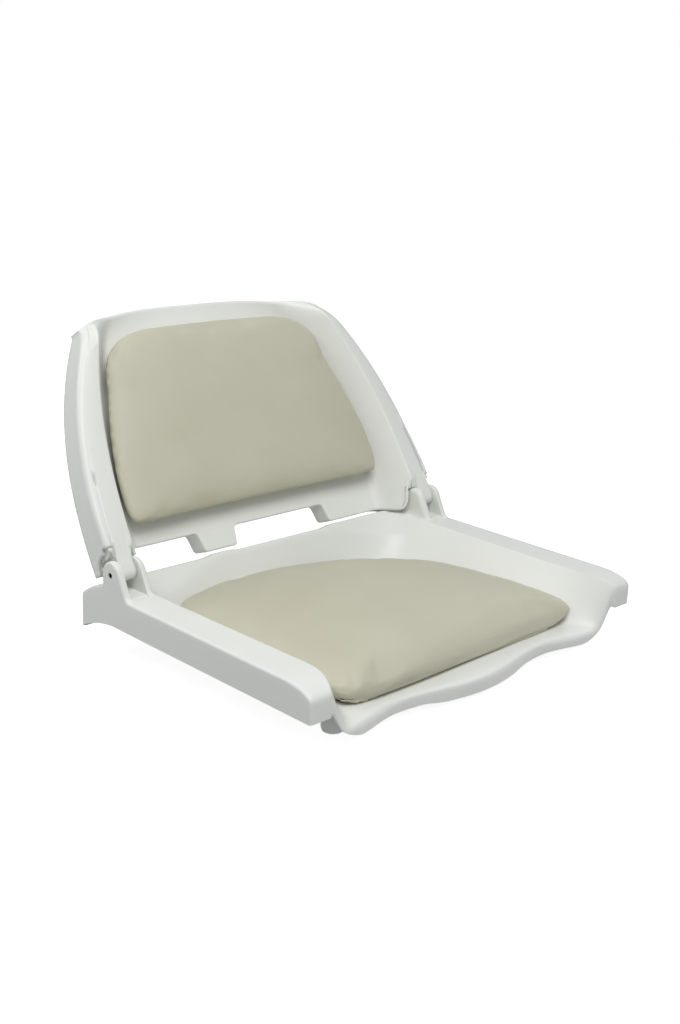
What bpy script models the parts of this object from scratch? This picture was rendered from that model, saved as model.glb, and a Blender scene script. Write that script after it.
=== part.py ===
"""Folding boat seat: a moulded base with two side rails, a moulded back that folds down over it
on two hinge pins, and two vinyl cushions screwed on from behind.

Units are metres and +Z is up. +Y points to the rear of the seat, and +X to the right as it is
seen from its front. The origin is the centre of the mounting face under the base.
"""

import math

import bmesh
import bpy
import numpy as np
from mathutils import Matrix, Vector

OBJECT_NAME = "folding_boat_seat"

# Clearances and the overrun that every cut shares
TOUCH_GAP = 0.0003
RUNNING_GAP = 0.0004
CUT_OVERRUN = 0.004
SKIN_STEP = 0.00025

# Base as a whole
SEAT_WIDTH = 0.480
MOUNT_SETBACK = 0.170
MOUNT_DROP = 0.0425
WALL = 0.0035

# Side rails: heights are above their undersides, setbacks run rearward from their front faces
RAIL_HEIGHT = 0.0325
RAIL_BLOCK_WIDTH = 0.0305
RAIL_TOP_WIDTH_FRONT = 0.0400
RAIL_TOP_WIDTH_REAR = 0.0355
RAIL_EDGE_RADIUS = 0.0025
RAIL_HOLLOW_FRONT = 0.030
NOSE_FACE_HEIGHT = 0.0200
NOSE_LENGTH = 0.0370
NOSE_FLARE = 0.0105

# Hinge: two ears a side with the back's tongue between them
HINGE_SETBACK = 0.2945
HINGE_HEIGHT = 0.0532
EAR_RADIUS = 0.0143
EAR_LEAN = math.radians(26.6)
EAR_OUTER_WIDTH = 0.0075
EAR_INNER_WIDTH = 0.0080
EAR_ROOT_HEIGHT = 0.0120
EAR_EDGE_RADIUS = 0.0022
SLOT_WIDTH = 0.0202
SLOT_FLOOR_RISE = 0.0012
PIN_RADIUS = 0.0030
PIN_RECESS = 0.0030

# Tail behind the hinge, and the rear lip that follows the same top line
TAIL_KNEE_SETBACK = 0.3286
TAIL_KNEE_HEIGHT = 0.0321
TAIL_END_SETBACK = 0.3456
TAIL_END_HEIGHT = 0.0215
TAIL_START_HEIGHT = 0.0398
TAIL_FOOT_DROP = 0.0155
TAIL_ARCH_SETBACK = 0.288
TAIL_ARCH_POWER = 1.8
CREST_SETBACK = 0.3200
STOP_RISE = 0.0023
STOP_NEAR_START = -0.0900
STOP_NEAR_END = -0.0530
STOP_FAR_START = 0.0860

# Pan that the seat cushion lies in
FLOOR_DROP = 0.0190
BOWL_BACK_SETBACK = 0.200
BOWL_FRONT_LENGTH = 0.080
WALL_START_SHARE = 0.76
WALL_FRONT_SHARE = 0.12
WALL_CURVE_POWER = 1.4
BOWL_CORNER_POWERS = (3.0, 8.0)

# Scalloped front lip, turned down
LIP_HALF_WIDTH = 0.2084
LIP_ROUND = 0.0040
LIP_VALLEY_DEPTH = 0.0155
LIP_CORNER_DEPTH = 0.0030
LIP_VALLEY_SHARE = 0.56
LIP_CORNER_SHARE = 0.90
LIP_DROP = 0.0350
LIP_PLACE_SHARES = (0.0, 0.264, 0.36, 0.817, 0.909, 0.952, 1.0, 1.03)
LIP_DROP_SHARES = (1.0, 1.0, 0.92, 0.92, 0.72, 0.54, 0.0, -0.2)
PAN_COLUMN_SHARES = (0.0, 0.10, 0.20, 0.30, 0.40, 0.50, 0.60, 0.68, 0.74, 0.79, 0.84, 0.88,
                     0.915, 0.945, 0.975, 1.0)
PAN_ROW_SHARES = (0.0, 0.04, 0.09, 0.16, 0.26, 0.38, 0.50, 0.62, 0.71, 0.78, 0.84, 0.885,
                  0.92, 0.95, 0.975, 1.0)

# Mounting structure under the pan: bosses on a square bolt pattern, ribs and a centre web
BOLT_PITCH = 0.127
RIBS_IN_BOLT_PITCH = 3
RIB_COUNT = 6
BOSS_RADIUS = 0.0100
INSERT_RADIUS = 0.0058
INSERT_BORE_RADIUS = 0.0032
INSERT_LENGTH = 0.0125
RIB_WIDTH = 0.0040
RIB_BITE = 0.0015
CENTRE_WEB_RADIUS = 0.0225
FOOT_RADIUS = 0.0110
FOOT_EDGE_RADIUS = 0.0036
FOOT_OFFSET = 0.1850
FOOT_SETBACK = 0.0220
FOOT_DROP = 0.0288

# Back shell: sizes are in its own frame, up along the back and rearward from the rim's front face
RECLINE = math.radians(32.0)
RIM_OFFSET = 0.0083
RIM_DEPTH = 0.0350
RIM_NARROWING = 0.0588
RIM_NARROWING_HEIGHT = 0.2486
RIM_NARROWING_POWER = 2.5
RIM_FACE_WIDTH = 0.0320
RIM_FACE_NARROWING = 0.0150
RIM_FACE_POWER = 2.6
RIM_EDGE_RADIUS = 0.0048
DISH_DEPTH = 0.0430
DISH_SLOPE_WIDTH = 0.0360
BACK_BOTTOM = 0.0045
BACK_TOP = 0.2923
ARCH_DROP = 0.0265
ARCH_HALF_WIDTH = 0.1702
ARCH_POWER = 3.1
SHOULDER_DEPTH = 0.0156
SHOULDER_LENGTH = 0.0280
SHOULDER_POWER = 2.9
TOP_FLANGE_DEPTH = 0.0150
WALL_COLUMN_SHARES = (1.0, 0.5)
SLOPE_COLUMN_SHARES = (0.0, 0.12, 0.3, 0.5, 0.7, 0.86)
PANEL_COLUMN_SHARES = (1.0, 0.8, 0.54, 0.27, 0.0)
BACK_ROW_SHARES = (0.0, 0.05, 0.1, 0.17, 0.25, 0.33, 0.41, 0.49, 0.57, 0.65, 0.72, 0.79, 0.85,
                   0.9, 0.935, 0.965, 1.0)
EDGE_TURNS = (0.0, math.radians(50), math.pi / 2)
SECTION_PASSES = 6

# Lower edge of the back: hand notches, the tab between them and a turned-back flange
NOTCH_TOP = 0.0267
NOTCH_NEAR_END = -0.0905
NOTCH_CENTRE_START = -0.0415
NOTCH_CENTRE_END = 0.0925
NOTCH_SIDE_LEAN = 0.0040
NOTCH_RADIUS = 0.0050
NOTCH_CORNER_STEPS = 4
FLANGE_LENGTH = 0.0220
FLANGE_RISE_SHARE = 0.19

# Tongues of the back, and the reliefs that clear the ears
TONGUE_WIDTH = 0.0185
TONGUE_LENGTH = 0.0420
TONGUE_UNDERCUT = 0.0125
RELIEF_RADIUS_OUTER = 0.0215
RELIEF_STEP = 0.0272
RELIEF_RADIUS_INNER = 0.0237

# Cushions: cover, foam and board; their outlines are of the cage, which rounding draws in by 3%
COVER_THICKNESS = 0.0014
FOAM_EASE = 0.0020
BOARD_THICKNESS = 0.0070
BOARD_INSET = 0.0060
SEAT_CUSHION_WIDTH = 0.3660
SEAT_CUSHION_FRONT = 0.0205
SEAT_CUSHION_REAR = 0.3065
SEAT_CUSHION_EDGE = 0.0050
SEAT_CUSHION_CROWN = 0.0215
SEAT_BASE_WIDTH = 0.3000
SEAT_BASE_FRONT = 0.0300
SEAT_BASE_REAR = 0.2760
BACK_CUSHION_WIDTH = 0.3760
BACK_CUSHION_BOTTOM = 0.0495
BACK_CUSHION_TOP = 0.2675
BACK_CUSHION_EDGE = 0.0240
BACK_CUSHION_CROWN = 0.0100
BACK_BASE_WIDTH = 0.3160
BACK_BASE_BOTTOM = 0.0600
BACK_BASE_TOP = 0.2560

# Half outlines from the edge nearest the hand that lifts it, in shares of half width and length
SEAT_OUTLINE_SHARES = (
    (0.00, 0.000), (0.45, 0.000), (0.81, 0.004), (0.945, 0.060), (0.985, 0.220), (1.000, 0.420),
    (0.965, 0.640), (0.840, 0.830), (0.520, 0.965), (0.00, 1.000),
)
BACK_OUTLINE_SHARES = (
    (0.00, 0.000), (0.45, 0.000), (0.82, 0.005), (0.970, 0.070), (0.995, 0.250), (0.955, 0.470),
    (0.890, 0.680), (0.800, 0.860), (0.540, 0.975), (0.00, 1.000),
)

# Cushion rings: share of the way from base outline to full outline, then share of its height
SIDE_RING_SHARES = ((0.00, 0.00), (0.60, 0.34), (1.00, 1.00))
CROWN_RING_SHARES = ((0.935, 0.50), (0.800, 0.82), (0.520, 0.97), (0.240, 1.00))

# Cushion screws
SCREW_RADIUS = 0.0024
SCREW_LENGTH = 0.0090
SCREW_HEAD_RADIUS = 0.0046
SCREW_HEAD_HEIGHT = 0.0028
SCREW_HEAD_FLAT_SHARE = 0.60
SCREW_HEAD_EDGE_SHARE = 0.65
SEAT_SCREW_INSET = 0.0550
SEAT_SCREW_REACH = 0.0950
BACK_SCREW_INSET = 0.0480
BACK_SCREW_HEIGHTS = (0.0950, 0.2050)

# Colours (linear), roughness and metallic of each material
FINISHES = {
    "white_polypropylene": ((0.78, 0.79, 0.76), 0.38, 0.0),
    "beige_vinyl": ((0.50, 0.46, 0.36), 0.55, 0.0),
    "seat_foam": ((0.80, 0.72, 0.45), 0.95, 0.0),
    "plywood": ((0.52, 0.36, 0.20), 0.80, 0.0),
    "stainless_steel": ((0.62, 0.62, 0.60), 0.28, 1.0),
    "brass": ((0.70, 0.50, 0.20), 0.35, 1.0),
}

HALF_WIDTH = SEAT_WIDTH / 2
HINGE_Y = HINGE_SETBACK - MOUNT_SETBACK
HINGE_Z = HINGE_HEIGHT + MOUNT_DROP
SLOT_OUTER = HALF_WIDTH - EAR_OUTER_WIDTH
SLOT_INNER = SLOT_OUTER - SLOT_WIDTH
EAR_INNER = SLOT_INNER - EAR_INNER_WIDTH
BLOCK_INNER = HALF_WIDTH - RAIL_BLOCK_WIDTH
TONGUE_INNER = SLOT_INNER + (SLOT_WIDTH - TONGUE_WIDTH) / 2
TONGUE_OUTER = TONGUE_INNER + TONGUE_WIDTH
STEM_Z = MOUNT_DROP - FLOOR_DROP


def clear_scene():
    """Remove every object of the open file, so that the script can be run again."""
    for old in list(bpy.data.objects):
        bpy.data.objects.remove(old, do_unlink=True)


def make_collection(name, parent):
    collection = bpy.data.collections.new(name)
    parent.children.link(collection)
    return collection


clear_scene()
parts = make_collection(OBJECT_NAME, bpy.context.scene.collection)
cutters = make_collection("cutters", bpy.context.scene.collection)


def make_material(name):
    """One Principled material for one finish."""
    colour, roughness, metallic = FINISHES[name]
    material = bpy.data.materials.new(name)
    material.use_nodes = True
    shader = material.node_tree.nodes["Principled BSDF"]
    shader.inputs["Base Color"].default_value = (*colour, 1.0)
    shader.inputs["Roughness"].default_value = roughness
    shader.inputs["Metallic"].default_value = metallic
    return material


def add_object(name, mesh, collection):
    item = bpy.data.objects.new(name, mesh)
    collection.objects.link(item)
    return item


def add_cutter(name, mesh, group):
    """A shape that only serves a Boolean: hidden, drawn as wire, and kept with its group."""
    item = add_object(name, mesh, group)
    item.hide_render = True
    item.display_type = "WIRE"
    return item


def finish_part(item, finish, smooth_angle=math.radians(40)):
    """Give a finished sub-part its own material and smooth shading on its round faces."""
    material = make_material(finish)
    material.name = f"{item.name}_{finish}"
    item.data.materials.clear()
    item.data.materials.append(material)
    item.data.shade_smooth()
    item.data.set_sharp_from_angle(angle=smooth_angle)


def grid_mesh(name, *grids):
    """Quads over grids of points, rows by columns, welded where two grids share points."""
    points = []
    faces = []
    for grid in grids:
        rows, columns = grid.shape[:2]
        index = len(points) + np.arange(rows * columns).reshape(rows, columns)
        corners = (index[:-1, :-1], index[:-1, 1:], index[1:, 1:], index[1:, :-1])
        faces += np.stack(corners, axis=-1).reshape(-1, 4).tolist()
        points += grid.reshape(-1, 3).tolist()
    mesh = bpy.data.meshes.new(name)
    mesh.from_pydata(points, [], faces)
    shape = bmesh.new()
    shape.from_mesh(mesh)
    bmesh.ops.remove_doubles(shape, verts=shape.verts, dist=TOUCH_GAP / 10)
    shape.to_mesh(mesh)
    shape.free()
    return mesh


def box_mesh(name, low, high):
    """A box from its lowest to its highest corner."""
    low, high = Vector(low), Vector(high)
    size = high - low
    place = Matrix.Translation((low + high) / 2) @ Matrix.Diagonal((*size, 1.0))
    shape = bmesh.new()
    bmesh.ops.create_cube(shape, size=1.0, matrix=place)
    mesh = bpy.data.meshes.new(name)
    shape.to_mesh(mesh)
    shape.free()
    return mesh


def rod_mesh(name, radius, start, end, sides=24):
    """A round rod between two points."""
    start, end = Vector(start), Vector(end)
    axis = end - start
    place = Matrix.Translation((start + end) / 2) @ axis.to_track_quat("Z", "Y").to_matrix().to_4x4()
    shape = bmesh.new()
    bmesh.ops.create_cone(shape, cap_ends=True, segments=sides, radius1=radius, radius2=radius,
                          depth=axis.length, matrix=place)
    mesh = bpy.data.meshes.new(name)
    shape.to_mesh(mesh)
    shape.free()
    return mesh


def plate_mesh(name, outline, thickness, place):
    """A flat outline as a filled 2D curve with half its thickness each way, made a mesh."""
    curve = bpy.data.curves.new(name, "CURVE")
    curve.dimensions = "2D"
    curve.fill_mode = "BOTH"
    curve.extrude = thickness / 2
    spline = curve.splines.new("POLY")
    spline.points.add(len(outline) - 1)
    for point, (across, along) in zip(spline.points, outline):
        point.co = (across, along, 0.0, 1.0)
    spline.use_cyclic_u = True
    holder = add_object(name, curve, cutters)
    holder.matrix_world = place
    bpy.context.view_layer.update()
    evaluated = holder.evaluated_get(bpy.context.evaluated_depsgraph_get())
    mesh = bpy.data.meshes.new_from_object(evaluated)
    mesh.transform(holder.matrix_world)
    shape = bmesh.new()
    shape.from_mesh(mesh)
    bmesh.ops.remove_doubles(shape, verts=shape.verts, dist=TOUCH_GAP / 10)
    bmesh.ops.recalc_face_normals(shape, faces=shape.faces)
    shape.to_mesh(mesh)
    shape.free()
    bpy.data.objects.remove(holder)
    return mesh


def add_solidify(item, thickness, offset=-1.0):
    modifier = item.modifiers.new("thickness", "SOLIDIFY")
    modifier.thickness = thickness
    modifier.offset = offset
    modifier.use_even_offset = True


def add_bevel(item, width, segments=2, angle=math.radians(50)):
    modifier = item.modifiers.new("edges", "BEVEL")
    modifier.width = width
    modifier.segments = segments
    modifier.limit_method = "ANGLE"
    modifier.angle_limit = angle


def add_subdivision(item, levels):
    modifier = item.modifiers.new("roundness", "SUBSURF")
    modifier.levels = levels
    modifier.render_levels = levels


def add_boolean(item, operation, group):
    """Join or cut an object with every shape of a group."""
    modifier = item.modifiers.new(group.name, "BOOLEAN")
    modifier.operation = operation
    modifier.solver = "EXACT"
    modifier.operand_type = "COLLECTION"
    modifier.collection = group


# Places: the base is described from its rail fronts and undersides, the back from its hinge axis

def base_place(x, setback, height):
    return (x, setback - MOUNT_SETBACK, height + MOUNT_DROP)


SIDE_PLANE = Matrix(((0, 0, 1, 0), (1, 0, 0, 0), (0, 1, 0, 0), (0, 0, 0, 1)))


def side_plate(name, outline, x_low, x_high, group):
    """A side outline of (setback, height) points, as thick as the span between two x places."""
    shift = Matrix.Translation(base_place((x_low + x_high) / 2, 0.0, 0.0))
    mesh = plate_mesh(name, outline, x_high - x_low, shift @ SIDE_PLANE)
    return add_cutter(name, mesh, group)


def span(side, inner, outer):
    """The lower and upper x of a span that is given from the middle outwards on one side."""
    return sorted((side * inner, side * outer))


def arc(centre, radius, start, end, steps):
    """Points on a circle from one angle to another."""
    angles = np.linspace(start, end, steps)
    return [(centre[0] + radius * math.cos(a), centre[1] + radius * math.sin(a)) for a in angles]


def tail_top(setback):
    """Height of the tail's and the rear lip's top line."""
    places = (HINGE_SETBACK + EAR_RADIUS, TAIL_KNEE_SETBACK, TAIL_END_SETBACK)
    heights = (TAIL_START_HEIGHT, TAIL_KNEE_HEIGHT, TAIL_END_HEIGHT)
    return np.interp(setback, places, heights)


# Base shell

def ear_arc(steps=9):
    """The ear's top, from the foot of its leaning front edge to its upright rear edge."""
    centre = (HINGE_SETBACK, HINGE_HEIGHT)
    return arc(centre, EAR_RADIUS, math.pi - EAR_LEAN, 0.0, steps)


def ear_foot(height):
    """Setback of the ear's leaning front edge at a height."""
    tangent_setback, tangent_height = ear_arc()[0]
    return tangent_setback - (tangent_height - height) * math.tan(EAR_LEAN)


def rail_outline():
    """Side view of a rail with its nose, ear and tail."""
    nose = [
        (NOSE_LENGTH * (1 - math.cos(turn)),
         NOSE_FACE_HEIGHT + (RAIL_HEIGHT - NOSE_FACE_HEIGHT) * math.sin(turn))
        for turn in np.linspace(0.0, math.pi / 2, 7)
    ]
    ear = [(ear_foot(RAIL_HEIGHT), RAIL_HEIGHT), *ear_arc()]
    tail = [
        (HINGE_SETBACK + EAR_RADIUS, TAIL_START_HEIGHT),
        (TAIL_KNEE_SETBACK, TAIL_KNEE_HEIGHT),
        (TAIL_END_SETBACK, TAIL_END_HEIGHT),
    ]
    run = TAIL_END_SETBACK - TAIL_ARCH_SETBACK
    under = [
        (TAIL_ARCH_SETBACK + run * share, -TAIL_FOOT_DROP * share ** TAIL_ARCH_POWER)
        for share in np.linspace(1.0, 0.0, 6)
    ]
    return [(0.0, 0.0), *nose, *ear, *tail, *under]


def inner_ear_outline():
    """Side view of the inner ear, rooted below the rail's top."""
    foot = ear_foot(RAIL_HEIGHT)
    rear = HINGE_SETBACK + EAR_RADIUS
    return [(foot, EAR_ROOT_HEIGHT), (foot, RAIL_HEIGHT), *ear_arc(), (rear, EAR_ROOT_HEIGHT)]


def pan_half_width(setback):
    """Half width of the pan between the rails' inner top edges, flared at the nose."""
    run = np.clip(setback / HINGE_SETBACK, 0.0, 1.0)
    rail_top = RAIL_TOP_WIDTH_FRONT + (RAIL_TOP_WIDTH_REAR - RAIL_TOP_WIDTH_FRONT) * run
    flare = NOSE_FLARE * np.clip(1 - setback / NOSE_LENGTH, 0.0, 1.0) ** 2
    return HALF_WIDTH - rail_top + flare


def pan_height(x, setback):
    """Height of the pan's upper face: a flat floor whose walls curve up to rails and crest.

    The floor ends at a rounded square. Two of them, one rounder than the other, are averaged,
    so that the corner is broad below and tight above.
    """
    across = np.abs(x) / pan_half_width(setback)
    back = np.clip((setback - BOWL_BACK_SETBACK) / (CREST_SETBACK - BOWL_BACK_SETBACK), 0.0, 1.0)
    front = np.clip(1 - setback / BOWL_FRONT_LENGTH, 0.0, 1.0) ** 2
    start = WALL_START_SHARE + WALL_FRONT_SHARE * front
    rise = 0.0
    for power in BOWL_CORNER_POWERS:
        reach = (across ** power + back ** power) ** (1 / power)
        wall = np.clip((reach - start) / (1 - start), 0.0, 1.0)
        rise = rise + wall ** WALL_CURVE_POWER / len(BOWL_CORNER_POWERS)
    top = RAIL_HEIGHT + (tail_top(CREST_SETBACK) - RAIL_HEIGHT) * back - SKIN_STEP
    return -FLOOR_DROP + (top + FLOOR_DROP) * rise


def lip_front(x):
    """Setback of the scalloped front edge: a centre lobe, two valleys and two corner lobes."""
    place = np.abs(x) / LIP_HALF_WIDTH
    inner = np.clip(place / LIP_VALLEY_SHARE, 0.0, 1.0)
    outer = np.clip((place - LIP_VALLEY_SHARE) / (LIP_CORNER_SHARE - LIP_VALLEY_SHARE), 0.0, 1.0)
    fall = LIP_VALLEY_DEPTH * (1 - np.cos(math.pi * inner)) / 2
    return fall - (LIP_VALLEY_DEPTH - LIP_CORNER_DEPTH) * (1 - np.cos(math.pi * outer)) / 2


def lip_bottom(x):
    """Height of the lip's lower edge."""
    return -LIP_DROP * np.interp(np.abs(x) / LIP_HALF_WIDTH, LIP_PLACE_SHARES, LIP_DROP_SHARES)


def pan_points():
    """Grid over the front lip, the bowl, the rear crest and the rear skirt, front to back."""
    half = np.array(PAN_COLUMN_SHARES)
    shares = np.concatenate([-half[:0:-1], half])
    rows = []
    for run in PAN_ROW_SHARES:
        x = shares * pan_half_width(run * CREST_SETBACK)
        start = lip_front(x) + LIP_ROUND
        setback = start + run * (CREST_SETBACK - start)
        x = shares * pan_half_width(setback)
        rows.append((x, setback, pan_height(x, setback)))
    x, setback, height = rows[0]
    turn = LIP_ROUND * (1 - math.cos(math.pi / 4))
    edge = (x, setback - LIP_ROUND + turn, height - turn)
    face = (x, setback - LIP_ROUND, height - LIP_ROUND)
    bottom = (x, setback - LIP_ROUND, np.minimum(lip_bottom(x), height - LIP_ROUND - SKIN_STEP))
    rows = [bottom, face, edge, *rows]
    x = shares * pan_half_width(CREST_SETBACK)
    for setback in (TAIL_KNEE_SETBACK, (TAIL_KNEE_SETBACK + TAIL_END_SETBACK) / 2, TAIL_END_SETBACK):
        rows.append((x, np.full_like(x, setback), np.full_like(x, tail_top(setback) - SKIN_STEP)))
    end = np.full_like(x, TAIL_END_SETBACK)
    rows.append((x, end, np.full_like(x, SKIN_STEP - TAIL_FOOT_DROP)))
    grid = np.array([np.stack(row, axis=-1) for row in rows])
    right = grid[:, -1:, :].copy()
    right[..., 0] = BLOCK_INNER + WALL
    left = right * np.array([-1.0, 1.0, 1.0])
    grid = np.concatenate([left, grid, right], axis=1)
    return grid + np.array(base_place(0.0, 0.0, 0.0))


def add_rail(side, joined, cut):
    """One rail with its two ears, and the cuts that hollow it and open the hinge slot."""
    tag = "right" if side > 0 else "left"
    low, high = span(side, BLOCK_INNER, HALF_WIDTH)
    rail = side_plate(f"rail_{tag}", rail_outline(), low, high, joined)
    add_bevel(rail, RAIL_EDGE_RADIUS)
    low, high = span(side, EAR_INNER, SLOT_INNER + EAR_INNER_WIDTH)
    ear = side_plate(f"inner_ear_{tag}", inner_ear_outline(), low, high, joined)
    add_bevel(ear, EAR_EDGE_RADIUS)

    low, high = span(side, SLOT_INNER, SLOT_OUTER)
    floor = RAIL_HEIGHT + SLOT_FLOOR_RISE
    rear = HINGE_SETBACK + EAR_RADIUS + CUT_OVERRUN
    top = HINGE_HEIGHT + EAR_RADIUS + CUT_OVERRUN
    slot = box_mesh(f"slot_{tag}", base_place(low, ear_foot(RAIL_HEIGHT) - CUT_OVERRUN, floor),
                    base_place(high, rear, top))
    add_cutter(f"slot_{tag}", slot, cut)

    hollow_low, hollow_high = span(side, BLOCK_INNER + WALL, HALF_WIDTH - WALL)
    hollows = (
        (RAIL_HOLLOW_FRONT, ear_foot(RAIL_HEIGHT) - WALL, RAIL_HEIGHT - WALL),
        (HINGE_SETBACK + EAR_RADIUS + WALL, TAIL_END_SETBACK - WALL, TAIL_END_HEIGHT - WALL),
    )
    for number, (front, back, ceiling) in enumerate(hollows):
        name = f"hollow_{tag}_{number}"
        low_corner = base_place(hollow_low, front, -TAIL_FOOT_DROP - CUT_OVERRUN)
        mesh = box_mesh(name, low_corner, base_place(hollow_high, back, ceiling))
        add_cutter(name, mesh, cut)

    start = base_place(side * (EAR_INNER - CUT_OVERRUN), HINGE_SETBACK, HINGE_HEIGHT)
    end = base_place(side * (HALF_WIDTH + CUT_OVERRUN), HINGE_SETBACK, HINGE_HEIGHT)
    bore = rod_mesh(f"pin_bore_{tag}", PIN_RADIUS + RUNNING_GAP, start, end)
    add_cutter(f"pin_bore_{tag}", bore, cut)


def stop_outline():
    """Side view of a raised stop on the rear lip."""
    top = [(place, tail_top(place) + STOP_RISE) for place in
           (CREST_SETBACK - WALL / 2, TAIL_KNEE_SETBACK, TAIL_END_SETBACK - WALL)]
    bottom = [(place, height - STOP_RISE - WALL / 2) for place, height in reversed(top)]
    return [*top, *bottom]


def corner_places(pitch):
    """The four corners of a square pattern."""
    return [(x * pitch / 2, y * pitch / 2) for x in (-1, 1) for y in (-1, 1)]


def add_mounting(joined, cut):
    """Ribs, bosses and a centre web, with their undersides in the mounting plane."""
    ceiling = STEM_Z - WALL + RIB_BITE
    reach = BOLT_PITCH / RIBS_IN_BOLT_PITCH * (RIB_COUNT - 1) / 2
    half = RIB_WIDTH / 2
    for number, place in enumerate(np.linspace(-reach, reach, RIB_COUNT)):
        for name, low, high in (
            (f"rib_along_{number}", (place - half, -reach - half, 0.0),
             (place + half, reach + half, ceiling)),
            (f"rib_across_{number}", (-reach - half, place - half, 0.0),
             (reach + half, place + half, ceiling)),
        ):
            add_cutter(name, box_mesh(name, low, high), joined)
    web = rod_mesh("centre_web", CENTRE_WEB_RADIUS, (0.0, 0.0, 0.0), (0.0, 0.0, RIB_WIDTH), 32)
    add_cutter("centre_web", web, joined)
    for number, (x, y) in enumerate(corner_places(BOLT_PITCH)):
        boss = rod_mesh(f"boss_{number}", BOSS_RADIUS, (x, y, 0.0), (x, y, ceiling), 20)
        add_cutter(f"boss_{number}", boss, joined)
        hole = rod_mesh(f"boss_hole_{number}", INSERT_RADIUS + TOUCH_GAP, (x, y, -CUT_OVERRUN),
                        (x, y, INSERT_LENGTH + TOUCH_GAP), 20)
        add_cutter(f"boss_hole_{number}", hole, cut)
    for side in (-1, 1):
        low = base_place(side * FOOT_OFFSET, FOOT_SETBACK, -FOOT_DROP)
        high = base_place(side * FOOT_OFFSET, FOOT_SETBACK, -FLOOR_DROP + WALL)
        foot = add_cutter(f"foot_{side}", rod_mesh(f"foot_{side}", FOOT_RADIUS, low, high, 16), joined)
        add_bevel(foot, FOOT_EDGE_RADIUS)


def make_base():
    """The one-piece moulded base."""
    joined = make_collection("base_joined", cutters)
    cut = make_collection("base_cut", cutters)
    base = add_object("seat_base", grid_mesh("seat_base", pan_points()), parts)
    add_solidify(base, WALL)
    for side in (-1, 1):
        add_rail(side, joined, cut)
    stops = ((STOP_NEAR_START, STOP_NEAR_END), (STOP_FAR_START, EAR_INNER))
    for number, (low, high) in enumerate(stops):
        side_plate(f"stop_{number}", stop_outline(), low, high, joined)
    add_mounting(joined, cut)
    for number, (x, y) in enumerate(seat_screw_places()):
        hole = rod_mesh(f"seat_screw_hole_{number}", SCREW_RADIUS + TOUCH_GAP,
                        (x, y, STEM_Z - WALL - CUT_OVERRUN), (x, y, STEM_Z + CUT_OVERRUN), 12)
        add_cutter(f"seat_screw_hole_{number}", hole, cut)
    add_boolean(base, "UNION", joined)
    add_boolean(base, "DIFFERENCE", cut)
    finish_part(base, "white_polypropylene")


def seat_screw_places():
    offset = SEAT_BASE_WIDTH / 2 - SEAT_SCREW_INSET
    return [(x * offset, y * SEAT_SCREW_REACH) for x in (-1, 1) for y in (-1, 1)]


# Back shell, modelled upright about its hinge axis and then reclined

def back_place(x, up, depth):
    """A point of the back in the frame of its hinge: up along it, depth behind the rim's face."""
    return (x, depth - RIM_OFFSET, up)


def rim_outer(up):
    """Half width of the rim's outer edge."""
    run = (np.abs(up) / RIM_NARROWING_HEIGHT) ** RIM_NARROWING_POWER
    return HALF_WIDTH - TOUCH_GAP - RIM_NARROWING * run


def rim_inner(up):
    """Half width of the rim's inner edge."""
    run = (np.abs(up) / RIM_NARROWING_HEIGHT) ** RIM_FACE_POWER
    return rim_outer(up) - RIM_FACE_WIDTH + RIM_FACE_NARROWING * run


def arch_top(x):
    """Height of the arched top edge."""
    return BACK_TOP - ARCH_DROP * (np.abs(x) / ARCH_HALF_WIDTH) ** ARCH_POWER


def face_depth(x, up):
    """Depth of the front face: rim, an even slope that eases into a flat panel, rolled-back top.

    Near the top edge the depth blends into one smooth curve from corner to corner.
    """
    run = np.clip((rim_inner(up) - np.abs(x)) / DISH_SLOPE_WIDTH, 0.0, 1.0)
    dish = DISH_DEPTH * np.minimum(run * (1 + run * (1 - run)), 1.0)
    top = DISH_DEPTH - (DISH_DEPTH - SHOULDER_DEPTH) * (np.abs(x) / ARCH_HALF_WIDTH) ** SHOULDER_POWER
    near = np.clip(1 - (arch_top(x) - up) / SHOULDER_LENGTH, 0.0, 1.0) ** 2
    return dish + (top - dish) * near


def back_columns():
    """Columns of the back's grid from its rear edge inwards, as functions of height."""
    walls = [(rim_outer, share, None) for share in WALL_COLUMN_SHARES]
    edges = [
        (lambda up, turn=turn: rim_outer(up) - RIM_EDGE_RADIUS * (1 - math.cos(turn)), None, turn)
        for turn in EDGE_TURNS
    ]
    face = [(lambda up: (rim_outer(up) - RIM_EDGE_RADIUS + rim_inner(up)) / 2, None, None)]
    slopes = [
        (lambda up, share=share: rim_inner(up) - DISH_SLOPE_WIDTH * share, None, None)
        for share in SLOPE_COLUMN_SHARES
    ]
    panel = [
        (lambda up, share=share: (rim_inner(up) - DISH_SLOPE_WIDTH) * share, None, None)
        for share in PANEL_COLUMN_SHARES
    ]
    return [*walls, *edges, *face, *slopes, *panel]


def back_points():
    """Grid over the outer walls, rim, dish slopes and panel, bottom to top.

    A row's height follows the arched top edge and a column's place follows the height, so the
    two are worked out in turn until they agree.
    """
    rows = []
    for level in BACK_ROW_SHARES:
        half = []
        for place, wall, turn in back_columns():
            up = BACK_BOTTOM + level * (arch_top(ARCH_HALF_WIDTH) - BACK_BOTTOM)
            for _ in range(SECTION_PASSES):
                x = place(up)
                up = BACK_BOTTOM + level * (arch_top(x) - BACK_BOTTOM)
            depth = face_depth(x, up)
            if wall is not None:
                depth += RIM_EDGE_RADIUS
                depth += wall * (RIM_DEPTH - depth)
            if turn is not None:
                depth += RIM_EDGE_RADIUS * (1 - math.sin(turn))
            half.append(back_place(x, up, depth))
        half = np.array(half)
        mirrored = half[-2::-1] * np.array([-1.0, 1.0, 1.0])
        rows.append(np.concatenate([half, mirrored]))
    return np.array(rows)


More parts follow.
